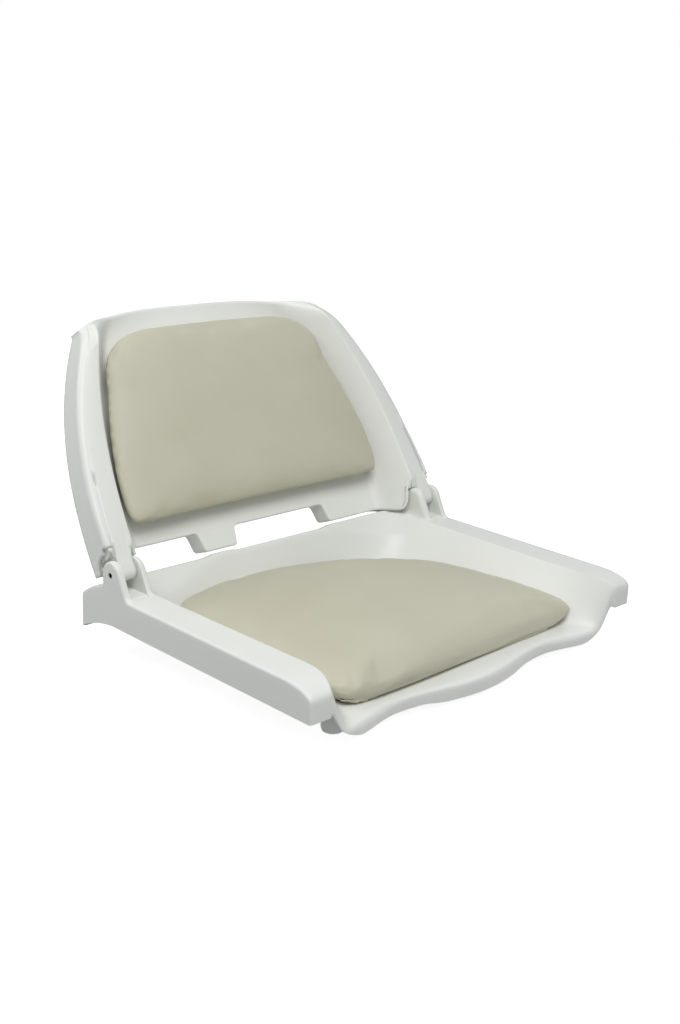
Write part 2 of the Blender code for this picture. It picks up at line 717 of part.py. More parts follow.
def top_flange_points(top):
    """Grid over the flange that turns back from the arched top edge, from that edge's own points."""
    middle = 1 - (top[:, 0] / top[0, 0]) ** 2
    back = RIM_DEPTH + (DISH_DEPTH + TOP_FLANGE_DEPTH - RIM_DEPTH) * middle
    rows = []
    for share in (0.0, *reversed(WALL_COLUMN_SHARES)):
        row = top.copy()
        row[:, 1] += share * (back - RIM_OFFSET - top[:, 1])
        rows.append(row)
    return np.array(rows)


def ribbon(path, width):
    """A closed outline that follows a path on its upper side, mitred at the corners."""
    path = np.array(path)
    along = np.diff(path, axis=0)
    along /= np.linalg.norm(along, axis=1)[:, None]
    normals = np.stack([-along[:, 1], along[:, 0]], axis=-1)
    before = np.vstack([normals[:1], normals])
    after = np.vstack([normals, normals[-1:]])
    mitre = before + after
    mitre /= np.sum(mitre * before, axis=1)[:, None]
    return [*path.tolist(), *(path + mitre * width)[::-1].tolist()]


def rounded(corners, radius, steps):
    """A path through corners whose inner ones are rounded, each with the same count of points."""
    points = [corners[0]]
    for before, corner, after in zip(corners, corners[1:], corners[2:]):
        before, corner, after = Vector(before), Vector(corner), Vector(after)
        back, ahead = (before - corner).normalized(), (after - corner).normalized()
        half_angle = back.angle(ahead) / 2
        centre = corner + (back + ahead).normalized() * radius / math.sin(half_angle)
        start = corner + back * radius / math.tan(half_angle) - centre
        end = corner + ahead * radius / math.tan(half_angle) - centre
        for share in np.linspace(0.0, 1.0, steps):
            points.append(tuple(centre + start.slerp(end, share) * radius))
    return [*points, corners[-1]]


def lower_edge_path():
    """The back's lower edge from the near tongue to the far slope, as (x, up) points."""
    near = -TONGUE_INNER
    far = rim_inner(BACK_BOTTOM) - DISH_SLOPE_WIDTH / 2
    lean = NOTCH_SIDE_LEAN
    corners = [
        (near, NOTCH_TOP), (NOTCH_NEAR_END - lean, NOTCH_TOP), (NOTCH_NEAR_END, BACK_BOTTOM),
        (NOTCH_CENTRE_START - lean, BACK_BOTTOM), (NOTCH_CENTRE_START, NOTCH_TOP),
        (NOTCH_CENTRE_END, NOTCH_TOP), (NOTCH_CENTRE_END + lean, BACK_BOTTOM), (far, BACK_BOTTOM),
    ]
    return rounded(corners, NOTCH_RADIUS, NOTCH_CORNER_STEPS)


def notch_outlines(path):
    """The near and centre notches, closed below the lower edge."""
    first = 1 + 2 * NOTCH_CORNER_STEPS
    last = first + 4 * NOTCH_CORNER_STEPS
    below = BACK_BOTTOM - CUT_OVERRUN
    return [[*edge, (edge[-1][0], below), (edge[0][0], below)] for edge in (path[:first], path[first:last])]


def add_tongue(side, joined, cut, bores):
    """One tongue, and the reliefs that keep the back clear of the two ears beside it."""
    tag = "right" if side > 0 else "left"
    low, high = span(side, TONGUE_INNER, TONGUE_OUTER)
    knuckle = rod_mesh(f"knuckle_{tag}", RIM_OFFSET, (low, 0.0, 0.0), (high, 0.0, 0.0), 28)
    add_cutter(f"knuckle_{tag}", knuckle, joined)
    lug = box_mesh(f"lug_{tag}", back_place(low, 0.0, 0.0),
                   back_place(high, TONGUE_LENGTH, 2 * RIM_OFFSET))
    add_cutter(f"lug_{tag}", lug, joined)
    bore = rod_mesh(f"tongue_bore_{tag}", PIN_RADIUS + RUNNING_GAP, (low - CUT_OVERRUN, 0.0, 0.0),
                    (high + CUT_OVERRUN, 0.0, 0.0), 24)
    add_cutter(f"tongue_bore_{tag}", bore, bores)

    side_gap = TONGUE_INNER - SLOT_INNER
    low, high = span(side, EAR_INNER - side_gap, TONGUE_INNER)
    inner = rod_mesh(f"inner_relief_{tag}", RELIEF_RADIUS_INNER, (low, 0.0, 0.0), (high, 0.0, 0.0), 40)
    add_cutter(f"inner_relief_{tag}", inner, cut)
    low, high = span(side, TONGUE_OUTER, HALF_WIDTH + CUT_OVERRUN)
    outer = rod_mesh(f"outer_relief_{tag}", RELIEF_RADIUS_OUTER, (low, 0.0, 0.0), (high, 0.0, 0.0), 40)
    add_cutter(f"outer_relief_{tag}", outer, cut)
    step = box_mesh(f"relief_step_{tag}", back_place(low, -CUT_OVERRUN, -CUT_OVERRUN),
                    back_place(high, RELIEF_STEP, RIM_OFFSET))
    add_cutter(f"relief_step_{tag}", step, cut)
    low, high = span(side, TONGUE_INNER - CUT_OVERRUN / 2, TONGUE_OUTER + CUT_OVERRUN / 2)
    below = box_mesh(f"below_tongue_{tag}", back_place(low, -CUT_OVERRUN, -CUT_OVERRUN),
                     back_place(high, TONGUE_UNDERCUT, RIM_DEPTH + CUT_OVERRUN))
    add_cutter(f"below_tongue_{tag}", below, cut)


def make_back():
    """The one-piece moulded back."""
    joined = make_collection("back_joined", cutters)
    cut = make_collection("back_cut", cutters)
    added = make_collection("back_tongues", cutters)
    bores = make_collection("back_bores", cutters)
    face = back_points()
    walls = len(WALL_COLUMN_SHARES)
    flange = top_flange_points(face[-1, walls:-walls])
    back = add_object("back_shell", grid_mesh("back_shell", face, flange), parts)
    back.data.flip_normals()
    add_solidify(back, WALL)

    path = lower_edge_path()
    length = FLANGE_LENGTH - WALL / 2
    middle = DISH_DEPTH + FLANGE_LENGTH - length / 2
    rise = FLANGE_RISE_SHARE
    flange_plane = Matrix(((1, 0, 0, 0), (0, 0, -1, 0), (0, 1, -rise, 0), (0, 0, 0, 1)))
    flange_place = Matrix.Translation(back_place(0.0, rise * length / 2, middle)) @ flange_plane
    add_cutter("lower_flange", plate_mesh("lower_flange", ribbon(path, WALL), length, flange_place), joined)

    notch_plane = Matrix(((1, 0, 0, 0), (0, 0, -1, 0), (0, 1, 0, 0), (0, 0, 0, 1)))
    notch_place = Matrix.Translation(back_place(0.0, 0.0, 0.0)) @ notch_plane
    for number, outline in enumerate(notch_outlines(path)):
        notch = plate_mesh(f"notch_{number}", outline, 2 * (DISH_DEPTH + FLANGE_LENGTH), notch_place)
        add_cutter(f"notch_{number}", notch, cut)
    for side in (-1, 1):
        add_tongue(side, added, cut, bores)
    for number, (x, up) in enumerate(back_screw_places()):
        hole = rod_mesh(f"back_screw_hole_{number}", SCREW_RADIUS + TOUCH_GAP,
                        back_place(x, up, DISH_DEPTH - CUT_OVERRUN),
                        back_place(x, up, DISH_DEPTH + WALL + CUT_OVERRUN), 12)
        add_cutter(f"back_screw_hole_{number}", hole, bores)
    add_boolean(back, "UNION", joined)
    add_boolean(back, "DIFFERENCE", cut)
    add_boolean(back, "UNION", added)
    add_boolean(back, "DIFFERENCE", bores)
    for group in (joined, cut, added, bores):
        for item in group.objects:
            recline(item)
    recline(back)
    finish_part(back, "white_polypropylene")


def back_screw_places():
    offset = BACK_BASE_WIDTH / 2 - BACK_SCREW_INSET
    return [(x * offset, up) for x in (-1, 1) for up in BACK_SCREW_HEIGHTS]


def recline(item):
    """Put a shape of the back on the hinge axis, leaning to the rear."""
    item.location = (0.0, HINGE_Y, HINGE_Z)
    item.rotation_euler = (-RECLINE, 0.0, 0.0)


# Cushions: rings from the board's edge up the drawn-in sides and over the crown

def full_outline(shares, width, start, end):
    """A closed outline from half of it, as (x, along) points."""
    half = [(x * width / 2, start + along * (end - start)) for x, along in shares]
    return np.array(half + [(-x, along) for x, along in half[-2:0:-1]])


def inset_outline(outline, inset):
    """An outline moved inwards along its normals."""
    ahead = np.roll(outline, -1, axis=0) - np.roll(outline, 1, axis=0)
    ahead /= np.linalg.norm(ahead, axis=1)[:, None]
    normals = np.stack([-ahead[:, 1], ahead[:, 0]], axis=-1)
    return outline + normals * inset


def cushion_rings(base, full, edge, crown, inset=0.0, lift=0.0):
    """Rings of (x, along, height) points, and the height of the crown's middle."""
    rings = []
    for share, rise in SIDE_RING_SHARES:
        ring = inset_outline(base + (full - base) * share, inset)
        height = lift + (edge - lift) * rise
        rings.append(np.column_stack([ring, np.full(len(ring), height)]))
    middle = full.mean(axis=0)
    for share, rise in CROWN_RING_SHARES:
        ring = middle + (inset_outline(full, inset) - middle) * share
        height = edge + (crown - inset - edge) * rise
        rings.append(np.column_stack([ring, np.full(len(ring), height)]))
    return rings, np.array([*middle, crown - inset])


def ring_mesh(name, rings, top, closed):
    """Bands between the rings, a fan over the crown, and a flat bottom where it is closed."""
    count = len(rings[0])
    points = np.vstack([*rings, top])
    faces = []
    for level in range(len(rings) - 1):
        for step in range(count):
            after = (step + 1) % count
            low, high = level * count, (level + 1) * count
            faces.append((low + step, low + after, high + after, high + step))
    last = (len(rings) - 1) * count
    for step in range(count):
        faces.append((last + step, last + (step + 1) % count, len(points) - 1))
    if closed:
        points = np.vstack([points, [*rings[0][:, :2].mean(axis=0), rings[0][0, 2]]])
        for step in range(count):
            faces.append(((step + 1) % count, step, len(points) - 1))
    mesh = bpy.data.meshes.new(name)
    mesh.from_pydata(points.tolist(), [], faces)
    return mesh


def make_cushion(name, base, full, edge, crown, place, holes):
    """Cover, foam and board of one cushion, in a frame whose height runs out of the shell."""
    lift = TOUCH_GAP
    rings, top = cushion_rings(base, full, edge, crown, lift=lift)
    cover = add_object(f"{name}_cover", ring_mesh(f"{name}_cover", rings, top, False), parts)
    add_subdivision(cover, 1)
    add_solidify(cover, COVER_THICKNESS)
    cover.matrix_world = place
    finish_part(cover, "beige_vinyl", math.pi)

    inset = COVER_THICKNESS + FOAM_EASE
    board_top = lift + BOARD_THICKNESS
    start = board_top + TOUCH_GAP
    rings, top = cushion_rings(base, full, edge, crown, inset=inset, lift=start)
    foam = add_object(f"{name}_foam", ring_mesh(f"{name}_foam", rings, top, True), parts)
    add_subdivision(foam, 1)
    foam.matrix_world = place
    finish_part(foam, "seat_foam", math.pi)

    outline = inset_outline(base, inset + BOARD_INSET)
    board_place = place @ Matrix.Translation((0.0, 0.0, lift + BOARD_THICKNESS / 2))
    mesh = plate_mesh(f"{name}_board", outline.tolist(), BOARD_THICKNESS, board_place)
    board = add_object(f"{name}_board", mesh, parts)
    cut = make_collection(f"{name}_board_cut", cutters)
    for number, (x, along) in enumerate(holes):
        low = place @ Vector((x, along, -CUT_OVERRUN))
        high = place @ Vector((x, along, board_top + CUT_OVERRUN))
        mesh = rod_mesh(f"{name}_board_hole_{number}", SCREW_RADIUS + TOUCH_GAP, low, high, 12)
        add_cutter(f"{name}_board_hole_{number}", mesh, cut)
    add_boolean(board, "DIFFERENCE", cut)
    finish_part(board, "plywood")


def make_seat_cushion():
    base = full_outline(SEAT_OUTLINE_SHARES, SEAT_BASE_WIDTH, SEAT_BASE_FRONT, SEAT_BASE_REAR)
    full = full_outline(SEAT_OUTLINE_SHARES, SEAT_CUSHION_WIDTH, SEAT_CUSHION_FRONT, SEAT_CUSHION_REAR)
    shift = np.array([0.0, MOUNT_SETBACK])
    place = Matrix.Translation((0.0, 0.0, STEM_Z))
    make_cushion("seat_cushion", base - shift, full - shift, FLOOR_DROP + SEAT_CUSHION_EDGE,
                 FLOOR_DROP + SEAT_CUSHION_CROWN, place, seat_screw_places())


def back_frame():
    """Frame of the back cushion: x, up along the back, and forward out of the panel."""
    forward = Matrix(((1, 0, 0, 0), (0, 0, -1, DISH_DEPTH - RIM_OFFSET), (0, 1, 0, 0), (0, 0, 0, 1)))
    hinge = Matrix.Translation((0.0, HINGE_Y, HINGE_Z)) @ Matrix.Rotation(-RECLINE, 4, "X")
    return hinge @ forward


def make_back_cushion():
    base = full_outline(BACK_OUTLINE_SHARES, BACK_BASE_WIDTH, BACK_BASE_BOTTOM, BACK_BASE_TOP)
    full = full_outline(BACK_OUTLINE_SHARES, BACK_CUSHION_WIDTH, BACK_CUSHION_BOTTOM, BACK_CUSHION_TOP)
    make_cushion("back_cushion", base, full, DISH_DEPTH - BACK_CUSHION_EDGE,
                 DISH_DEPTH - BACK_CUSHION_CROWN, back_frame(), back_screw_places())


# Fasteners and pins

def turned_mesh(name, profile, sides):
    """A turned piece from (radius, height) points that run from its foot, out and up to its top."""
    mesh = bpy.data.meshes.new(name)
    points = [(radius, 0.0, height) for radius, height in reversed(profile)]
    edges = [(number, number + 1) for number in range(len(points) - 1)]
    mesh.from_pydata(points, edges, [])
    holder = add_object(name, mesh, cutters)
    screw = holder.modifiers.new("turning", "SCREW")
    screw.steps = sides
    screw.render_steps = sides
    screw.use_merge_vertices = True
    screw.merge_threshold = TOUCH_GAP / 10
    evaluated = holder.evaluated_get(bpy.context.evaluated_depsgraph_get())
    turned = bpy.data.meshes.new_from_object(evaluated)
    bpy.data.objects.remove(holder)
    return turned


def make_screws(name, places, place):
    """Pan-head screws through the shell into the board, in the cushion's frame."""
    under = -WALL - TOUCH_GAP
    head = under - SCREW_HEAD_HEIGHT
    edge = head + (under - head) * SCREW_HEAD_EDGE_SHARE
    profile = [(0.0, head), (SCREW_HEAD_RADIUS * SCREW_HEAD_FLAT_SHARE, head),
               (SCREW_HEAD_RADIUS, edge), (SCREW_HEAD_RADIUS, under), (SCREW_RADIUS, under),
               (SCREW_RADIUS, under + SCREW_LENGTH - SCREW_RADIUS), (0.0, under + SCREW_LENGTH)]
    mesh = turned_mesh(name, profile, 12)
    for number, (x, along) in enumerate(places):
        screw = add_object(f"{name}_{number + 1}", mesh.copy(), parts)
        screw.matrix_world = place @ Matrix.Translation((x, along, 0.0))
        finish_part(screw, "stainless_steel")


def make_pins():
    """A plain steel pin through each pair of ears."""
    for side, tag in ((-1, "left"), (1, "right")):
        start = (side * (EAR_INNER + PIN_RECESS / 2), HINGE_Y, HINGE_Z)
        end = (side * (HALF_WIDTH - PIN_RECESS), HINGE_Y, HINGE_Z)
        pin = add_object(f"hinge_pin_{tag}", rod_mesh(f"hinge_pin_{tag}", PIN_RADIUS, start, end, 20), parts)
        finish_part(pin, "stainless_steel")


def make_inserts():
    """Threaded inserts in the four mounting bosses."""
    profile = [(INSERT_BORE_RADIUS, 0.0), (INSERT_RADIUS, 0.0), (INSERT_RADIUS, INSERT_LENGTH),
               (INSERT_BORE_RADIUS, INSERT_LENGTH), (INSERT_BORE_RADIUS, 0.0)]
    mesh = turned_mesh("mount_insert", profile, 20)
    for number, (x, y) in enumerate(corner_places(BOLT_PITCH)):
        insert = add_object(f"mount_insert_{number + 1}", mesh.copy(), parts)
        insert.location = (x, y, 0.0)
        finish_part(insert, "brass")


make_base()
make_back()
make_seat_cushion()
make_back_cushion()
make_screws("seat_cushion_screw", seat_screw_places(), Matrix.Translation((0.0, 0.0, STEM_Z)))
make_screws("back_cushion_screw", back_screw_places(), back_frame())
make_pins()
make_inserts()
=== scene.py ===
"""Looks of a folding boat seat: two white polypropylene mouldings hinged on steel pins, and two
beige vinyl cushions screwed into them.

Units are metres, +Z is up and +Y points to the rear. Setbacks run rearward from the rails' front
faces and heights are above the rails' undersides. The back is drawn upright about its hinge and
then leaned to the rear.
"""

import math

import bmesh
import bpy
import numpy as np
from mathutils import Matrix, Vector


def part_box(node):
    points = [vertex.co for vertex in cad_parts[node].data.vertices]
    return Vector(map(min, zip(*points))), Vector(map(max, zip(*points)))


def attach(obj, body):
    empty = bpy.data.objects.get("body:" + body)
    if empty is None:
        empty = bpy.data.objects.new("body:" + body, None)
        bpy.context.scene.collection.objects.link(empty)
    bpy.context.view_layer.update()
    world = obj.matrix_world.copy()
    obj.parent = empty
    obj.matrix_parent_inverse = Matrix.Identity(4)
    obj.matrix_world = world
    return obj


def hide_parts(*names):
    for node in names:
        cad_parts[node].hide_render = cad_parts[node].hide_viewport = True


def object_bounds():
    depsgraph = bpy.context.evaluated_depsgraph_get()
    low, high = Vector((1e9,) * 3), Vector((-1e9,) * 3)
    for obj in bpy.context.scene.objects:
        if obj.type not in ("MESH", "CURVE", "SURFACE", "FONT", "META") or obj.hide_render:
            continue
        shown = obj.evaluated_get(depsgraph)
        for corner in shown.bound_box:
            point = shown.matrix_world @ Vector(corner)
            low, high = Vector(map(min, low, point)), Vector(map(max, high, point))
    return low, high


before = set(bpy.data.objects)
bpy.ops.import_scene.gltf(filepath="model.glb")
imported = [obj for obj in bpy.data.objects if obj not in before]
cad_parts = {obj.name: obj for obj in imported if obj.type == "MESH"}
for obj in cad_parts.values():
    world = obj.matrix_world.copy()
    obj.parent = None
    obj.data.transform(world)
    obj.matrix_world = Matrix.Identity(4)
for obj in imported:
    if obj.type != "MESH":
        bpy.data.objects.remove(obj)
cad_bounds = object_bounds()

# Studio: a white floor that only shows the seat's own soft shadow, a broad lamp above the left
# front corner, a weak one over the left rear corner and pale walls all round. The camera stands
# at the left front corner and looks slightly down.

CAMERA_PLACE = (-0.97952, -0.93224, 0.56250)
CAMERA_AZIMUTH = math.radians(-45.0809)
CAMERA_ELEVATION = math.radians(17.0591)
CAMERA_ROLL = math.radians(2.542)
CAMERA_LENS = 47.67
SENSOR_WIDTH = 36.0
FLOOR_SIZE = 40.0
FLOOR_DROP_BELOW = 0.0006
WALL_STRENGTH = 0.400
FLOOR_GLOW = 0.85
LAMPS = (
    ("key_lamp", (-0.55, -0.85, 1.85), (0.0, 0.0, 0.10), 1.3, 26.0),
    ("rear_lamp", (-0.75, 0.75, 1.00), (-0.15, 0.20, 0.20), 0.7, 3.6),
)


def linear(hex_colour):
    """sRGB hex such as "E6E6E0" as linear red, green, blue and alpha."""
    channels = np.array([int(hex_colour[n:n + 2], 16) for n in (0, 2, 4)]) / 255
    low, high = channels / 12.92, ((channels + 0.055) / 1.055) ** 2.4
    return (*np.where(channels <= 0.04045, low, high).tolist(), 1.0)


def add_node(tree, kind, links=(), **settings):
    """A node with settings by attribute or input name, and links given as (input, source socket)."""
    node = tree.nodes.new(kind)
    for name, value in settings.items():
        if name.startswith("in_"):
            node.inputs[name[3:].replace("_", " ")].default_value = value
        else:
            setattr(node, name, value)
    for socket, source in links:
        tree.links.new(source, node.inputs[socket])
    return node


def make_camera():
    """Camera whose back, right and up axes come from its azimuth, elevation and roll."""
    a, e, r = CAMERA_AZIMUTH, CAMERA_ELEVATION, CAMERA_ROLL
    back = Vector((math.sin(a) * math.cos(e), -math.cos(a) * math.cos(e), math.sin(e)))
    right = (-back).cross(Vector((0.0, 0.0, 1.0))).normalized()
    up = right.cross(-back)
    turned_right = right * math.cos(r) + up * math.sin(r)
    turned_up = up * math.cos(r) - right * math.sin(r)
    data = bpy.data.cameras.new("camera")
    data.lens = CAMERA_LENS
    data.sensor_width = SENSOR_WIDTH
    camera = bpy.data.objects.new("camera", data)
    axes = Matrix((turned_right, turned_up, back)).transposed().to_4x4()
    camera.matrix_world = Matrix.Translation(CAMERA_PLACE) @ axes
    bpy.context.scene.collection.objects.link(camera)
    bpy.context.scene.camera = camera


def seen_straight(tree):
    """1 where the camera, glass or gloss looks straight at a surface, and 0 for soft light."""
    path = add_node(tree, "ShaderNodeLightPath")
    first = add_node(tree, "ShaderNodeMath", operation="MAXIMUM",
                     links=((0, path.outputs["Is Camera Ray"]), (1, path.outputs["Is Glossy Ray"])))
    return add_node(tree, "ShaderNodeMath", operation="MAXIMUM",
                    links=((0, first.outputs[0]), (1, path.outputs["Is Transmission Ray"])))


def make_world():
    world = bpy.data.worlds.new("studio")
    world.use_nodes = True
    tree = world.node_tree
    tree.nodes.clear()
    soft = add_node(tree, "ShaderNodeBackground", in_Color=linear("F4F6FA"), in_Strength=WALL_STRENGTH)
    white = add_node(tree, "ShaderNodeBackground", in_Color=(1.0, 1.0, 1.0, 1.0), in_Strength=1.0)
    path = add_node(tree, "ShaderNodeLightPath")
    mix = add_node(tree, "ShaderNodeMixShader",
                   links=((0, path.outputs["Is Camera Ray"]), (1, soft.outputs[0]), (2, white.outputs[0])))
    add_node(tree, "ShaderNodeOutputWorld", links=(("Surface", mix.outputs[0]),))
    bpy.context.scene.world = world


def add_object(name, shape):
    """A new object made from a bmesh, which is freed."""
    mesh = bpy.data.meshes.new(name)
    shape.to_mesh(mesh)
    shape.free()
    piece = bpy.data.objects.new(name, mesh)
    bpy.context.scene.collection.objects.link(piece)
    return piece


def make_floor():
    """A large white plane whose own light lifts it to white, and which still takes a shadow."""
    shape = bmesh.new()
    bmesh.ops.create_grid(shape, x_segments=2, y_segments=2, size=FLOOR_SIZE / 2)
    bmesh.ops.translate(shape, verts=shape.verts, vec=(0.0, 0.0, cad_bounds[0].z - FLOOR_DROP_BELOW))
    floor = add_object("floor", shape)
    material = bpy.data.materials.new("painted_white_floor")
    material.use_nodes = True
    tree = material.node_tree
    tree.nodes.clear()
    paint = add_node(tree, "ShaderNodeBsdfDiffuse", in_Color=linear("F2F2F2"))
    glow = add_node(tree, "ShaderNodeEmission", in_Color=(1.0, 1.0, 1.0, 1.0), in_Strength=FLOOR_GLOW)
    both = add_node(tree, "ShaderNodeAddShader", links=((0, paint.outputs[0]), (1, glow.outputs[0])))
    bounce = add_node(tree, "ShaderNodeBsdfDiffuse", in_Color=linear("949492"))
    straight = seen_straight(tree)
    mix = add_node(tree, "ShaderNodeMixShader",
                   links=((0, straight.outputs[0]), (1, bounce.outputs[0]), (2, both.outputs[0])))
    add_node(tree, "ShaderNodeOutputMaterial", links=(("Surface", mix.outputs[0]),))
    floor.data.materials.append(material)


def make_lamps():
    for name, place, target, size, power in LAMPS:
        data = bpy.data.lights.new(name, "AREA")
        data.shape = "DISK"
        data.size = size
        data.energy = power
        lamp = bpy.data.objects.new(name, data)
        lamp.location = place
        lamp.rotation_euler = (Vector(target) - Vector(place)).to_track_quat("-Z", "Y").to_euler()
        bpy.context.scene.collection.objects.link(lamp)


make_camera()
make_world()
make_floor()
make_lamps()
bpy.context.scene.view_settings.view_transform = "Standard"

# Base moulding: one injection moulding of white polypropylene. Its pan runs up into two flat
# side rails that end in hinge ears and tails, rolls over a scalloped lip in front and over a
# raised lip at the rear. Every edge has the soft radius of a moulding.

base_low, base_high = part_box("seat_base")
HALF_WIDTH = base_high.x
FRONT_Y = base_low.y
WALL = 0.0035
RAIL_HEIGHT = 0.0325
NOSE_FACE_HEIGHT = 0.0200
NOSE_LENGTH = 0.0370
NOSE_FLARE = 0.0150
NOSE_FLARE_LENGTH = 0.0480
RAIL_TOP_WIDTH_FRONT = 0.0400
RAIL_TOP_WIDTH_REAR = 0.0355
RAIL_EDGE_RADIUS = 0.0030
BASE_CREASE = math.radians(60.0)
UNDERSIDE_Z = 0.0425

HINGE_SETBACK = 0.2945
HINGE_HEIGHT = 0.0532
EAR_RADIUS = 0.0143
EAR_LEAN = math.radians(26.6)
EAR_OUTER_WIDTH = 0.0075
EAR_INNER_WIDTH = 0.0080
EAR_SOFT_RADIUS = 0.0050
EAR_CRISP_RADIUS = 0.0014
EAR_FOOT_RADIUS = 0.0080
SLOT_WIDTH = 0.0202
SLOT_FLOOR_RISE = 0.0012
SLOT_FLOOR_START = 0.0030
FINE_WELD = 0.000002
MOULD_WELD = 0.00003
MOULD_THIN = 0.00025
SLOT_REAR_SETBACK = 0.3128
PIN_HOLE_RADIUS = 0.0032
HOLE_SIDES = 40

TAIL_KNEE_SETBACK = 0.3286
TAIL_KNEE_HEIGHT = 0.0321
TAIL_END_SETBACK = 0.3456
TAIL_END_HEIGHT = 0.0215
TAIL_START_HEIGHT = 0.0398
TAIL_FOOT_DROP = 0.0155
TAIL_ARCH_SETBACK = 0.288
TAIL_ARCH_POWER = 1.8
CREST_SETBACK = 0.3200
STOP_RISE = 0.0023
STOP_SPANS = ((-0.0900, -0.0530), (0.0860, 0.2040))
ROW_SLACK = 0.0001

PAN_FLOOR_DROP = 0.0190
BOWL_BACK_SETBACK = 0.200
BOWL_FRONT_LENGTH = 0.105
WALL_START_SHARE = 0.76
WALL_FRONT_SHARE = 0.15
WALL_CURVE_POWER = 1.4
BOWL_CORNER_POWERS = (3.0, 8.0)
PAN_COLUMNS = 117
PAN_COLUMN_POWER = 1.15

LIP_HALF_WIDTH = 0.2084
LIP_ROUND = 0.0050
LIP_VALLEY_DEPTH = 0.0155
LIP_CORNER_DEPTH = 0.0030
LIP_VALLEY_SHARE = 0.56
LIP_CORNER_SHARE = 0.90
LIP_DROP = 0.0350
LIP_PLACE_SHARES = (0.0, 0.264, 0.36, 0.817, 0.909, 0.952, 1.0, 1.03)
LIP_DROP_SHARES = (1.0, 1.0, 0.92, 0.92, 0.72, 0.54, 0.0, -0.2)
LIP_SOFT_PASSES = 40
LIP_FOLLOW_LENGTH = 0.150

SLOT_OUTER = HALF_WIDTH - EAR_OUTER_WIDTH
SLOT_INNER = SLOT_OUTER - SLOT_WIDTH
EAR_INNER = SLOT_INNER - EAR_INNER_WIDTH
HINGE = Vector((0.0, HINGE_SETBACK + FRONT_Y, HINGE_HEIGHT + UNDERSIDE_Z))


def grid_object(name, grid, weld=FINE_WELD, thin=FINE_WELD):
    """Quads over a grid of points, rows by columns, with points that fall together welded and
    faces thinner than a limit closed."""
    rows, columns = grid.shape[:2]
    index = np.arange(rows * columns).reshape(rows, columns)
    corners = (index[:-1, :-1], index[:-1, 1:], index[1:, 1:], index[1:, :-1])
    mesh = bpy.data.meshes.new(name)
    mesh.from_pydata(grid.reshape(-1, 3).tolist(), [], np.stack(corners, axis=-1).reshape(-1, 4).tolist())
    shape = bmesh.new()
    shape.from_mesh(mesh)
    bpy.data.meshes.remove(mesh)
    bmesh.ops.remove_doubles(shape, verts=shape.verts, dist=weld)
    bmesh.ops.dissolve_degenerate(shape, dist=thin, edges=shape.edges)
    piece = add_object(name, shape)
    piece.data.shade_smooth()
    return piece


def thicken(piece, thickness):
    """Give a skin its wall, inwards."""
    modifier = piece.modifiers.new("wall", "SOLIDIFY")
    modifier.thickness = thickness
    modifier.offset = -1.0


def apply_modifiers(piece, transform=None):
    """Make the evaluated mesh the piece's own, and put its place into it."""
    evaluated = piece.evaluated_get(bpy.context.evaluated_depsgraph_get())
    mesh = bpy.data.meshes.new_from_object(evaluated)
    piece.modifiers.clear()
    piece.data = mesh
    if transform is not None:
        mesh.transform(transform)


def cut_round_hole(piece, radius, start, end):
    """Cut a round hole between two points."""
    start, end = Vector(start), Vector(end)
    axis = end - start
    place = Matrix.Translation((start + end) / 2) @ axis.to_track_quat("Z", "Y").to_matrix().to_4x4()
    shape = bmesh.new()
    bmesh.ops.create_cone(shape, cap_ends=True, segments=HOLE_SIDES, radius1=radius, radius2=radius,
                          depth=axis.length, matrix=place)
    cutter = add_object("hole", shape)
    modifier = piece.modifiers.new("hole", "BOOLEAN")
    modifier.operation = "DIFFERENCE"
    modifier.solver = "FAST"
    modifier.object = cutter
    apply_modifiers(piece)
    bpy.data.objects.remove(cutter)


def soften(values, passes, axis=0):
    """Average each inner row with its neighbours, a quarter from each, a number of times."""
    values = np.moveaxis(np.array(values, dtype=float), axis, 0)
    for _ in range(passes):
        values[1:-1] = (values[:-2] + 2 * values[1:-1] + values[2:]) / 4
    return np.moveaxis(values, 0, axis)


def tail_top(setback):
    """Height of the tail's and rear lip's top line: two straight slopes."""
    places = (HINGE_SETBACK + EAR_RADIUS, TAIL_KNEE_SETBACK, TAIL_END_SETBACK)
    return np.interp(setback, places, (TAIL_START_HEIGHT, TAIL_KNEE_HEIGHT, TAIL_END_HEIGHT))


def tail_bottom(setback):
    """Height of the rail's underside: level, then a curve down to the tail's foot."""
    run = np.clip((setback - TAIL_ARCH_SETBACK) / (TAIL_END_SETBACK - TAIL_ARCH_SETBACK), 0.0, 1.0)
    return -TAIL_FOOT_DROP * run ** TAIL_ARCH_POWER


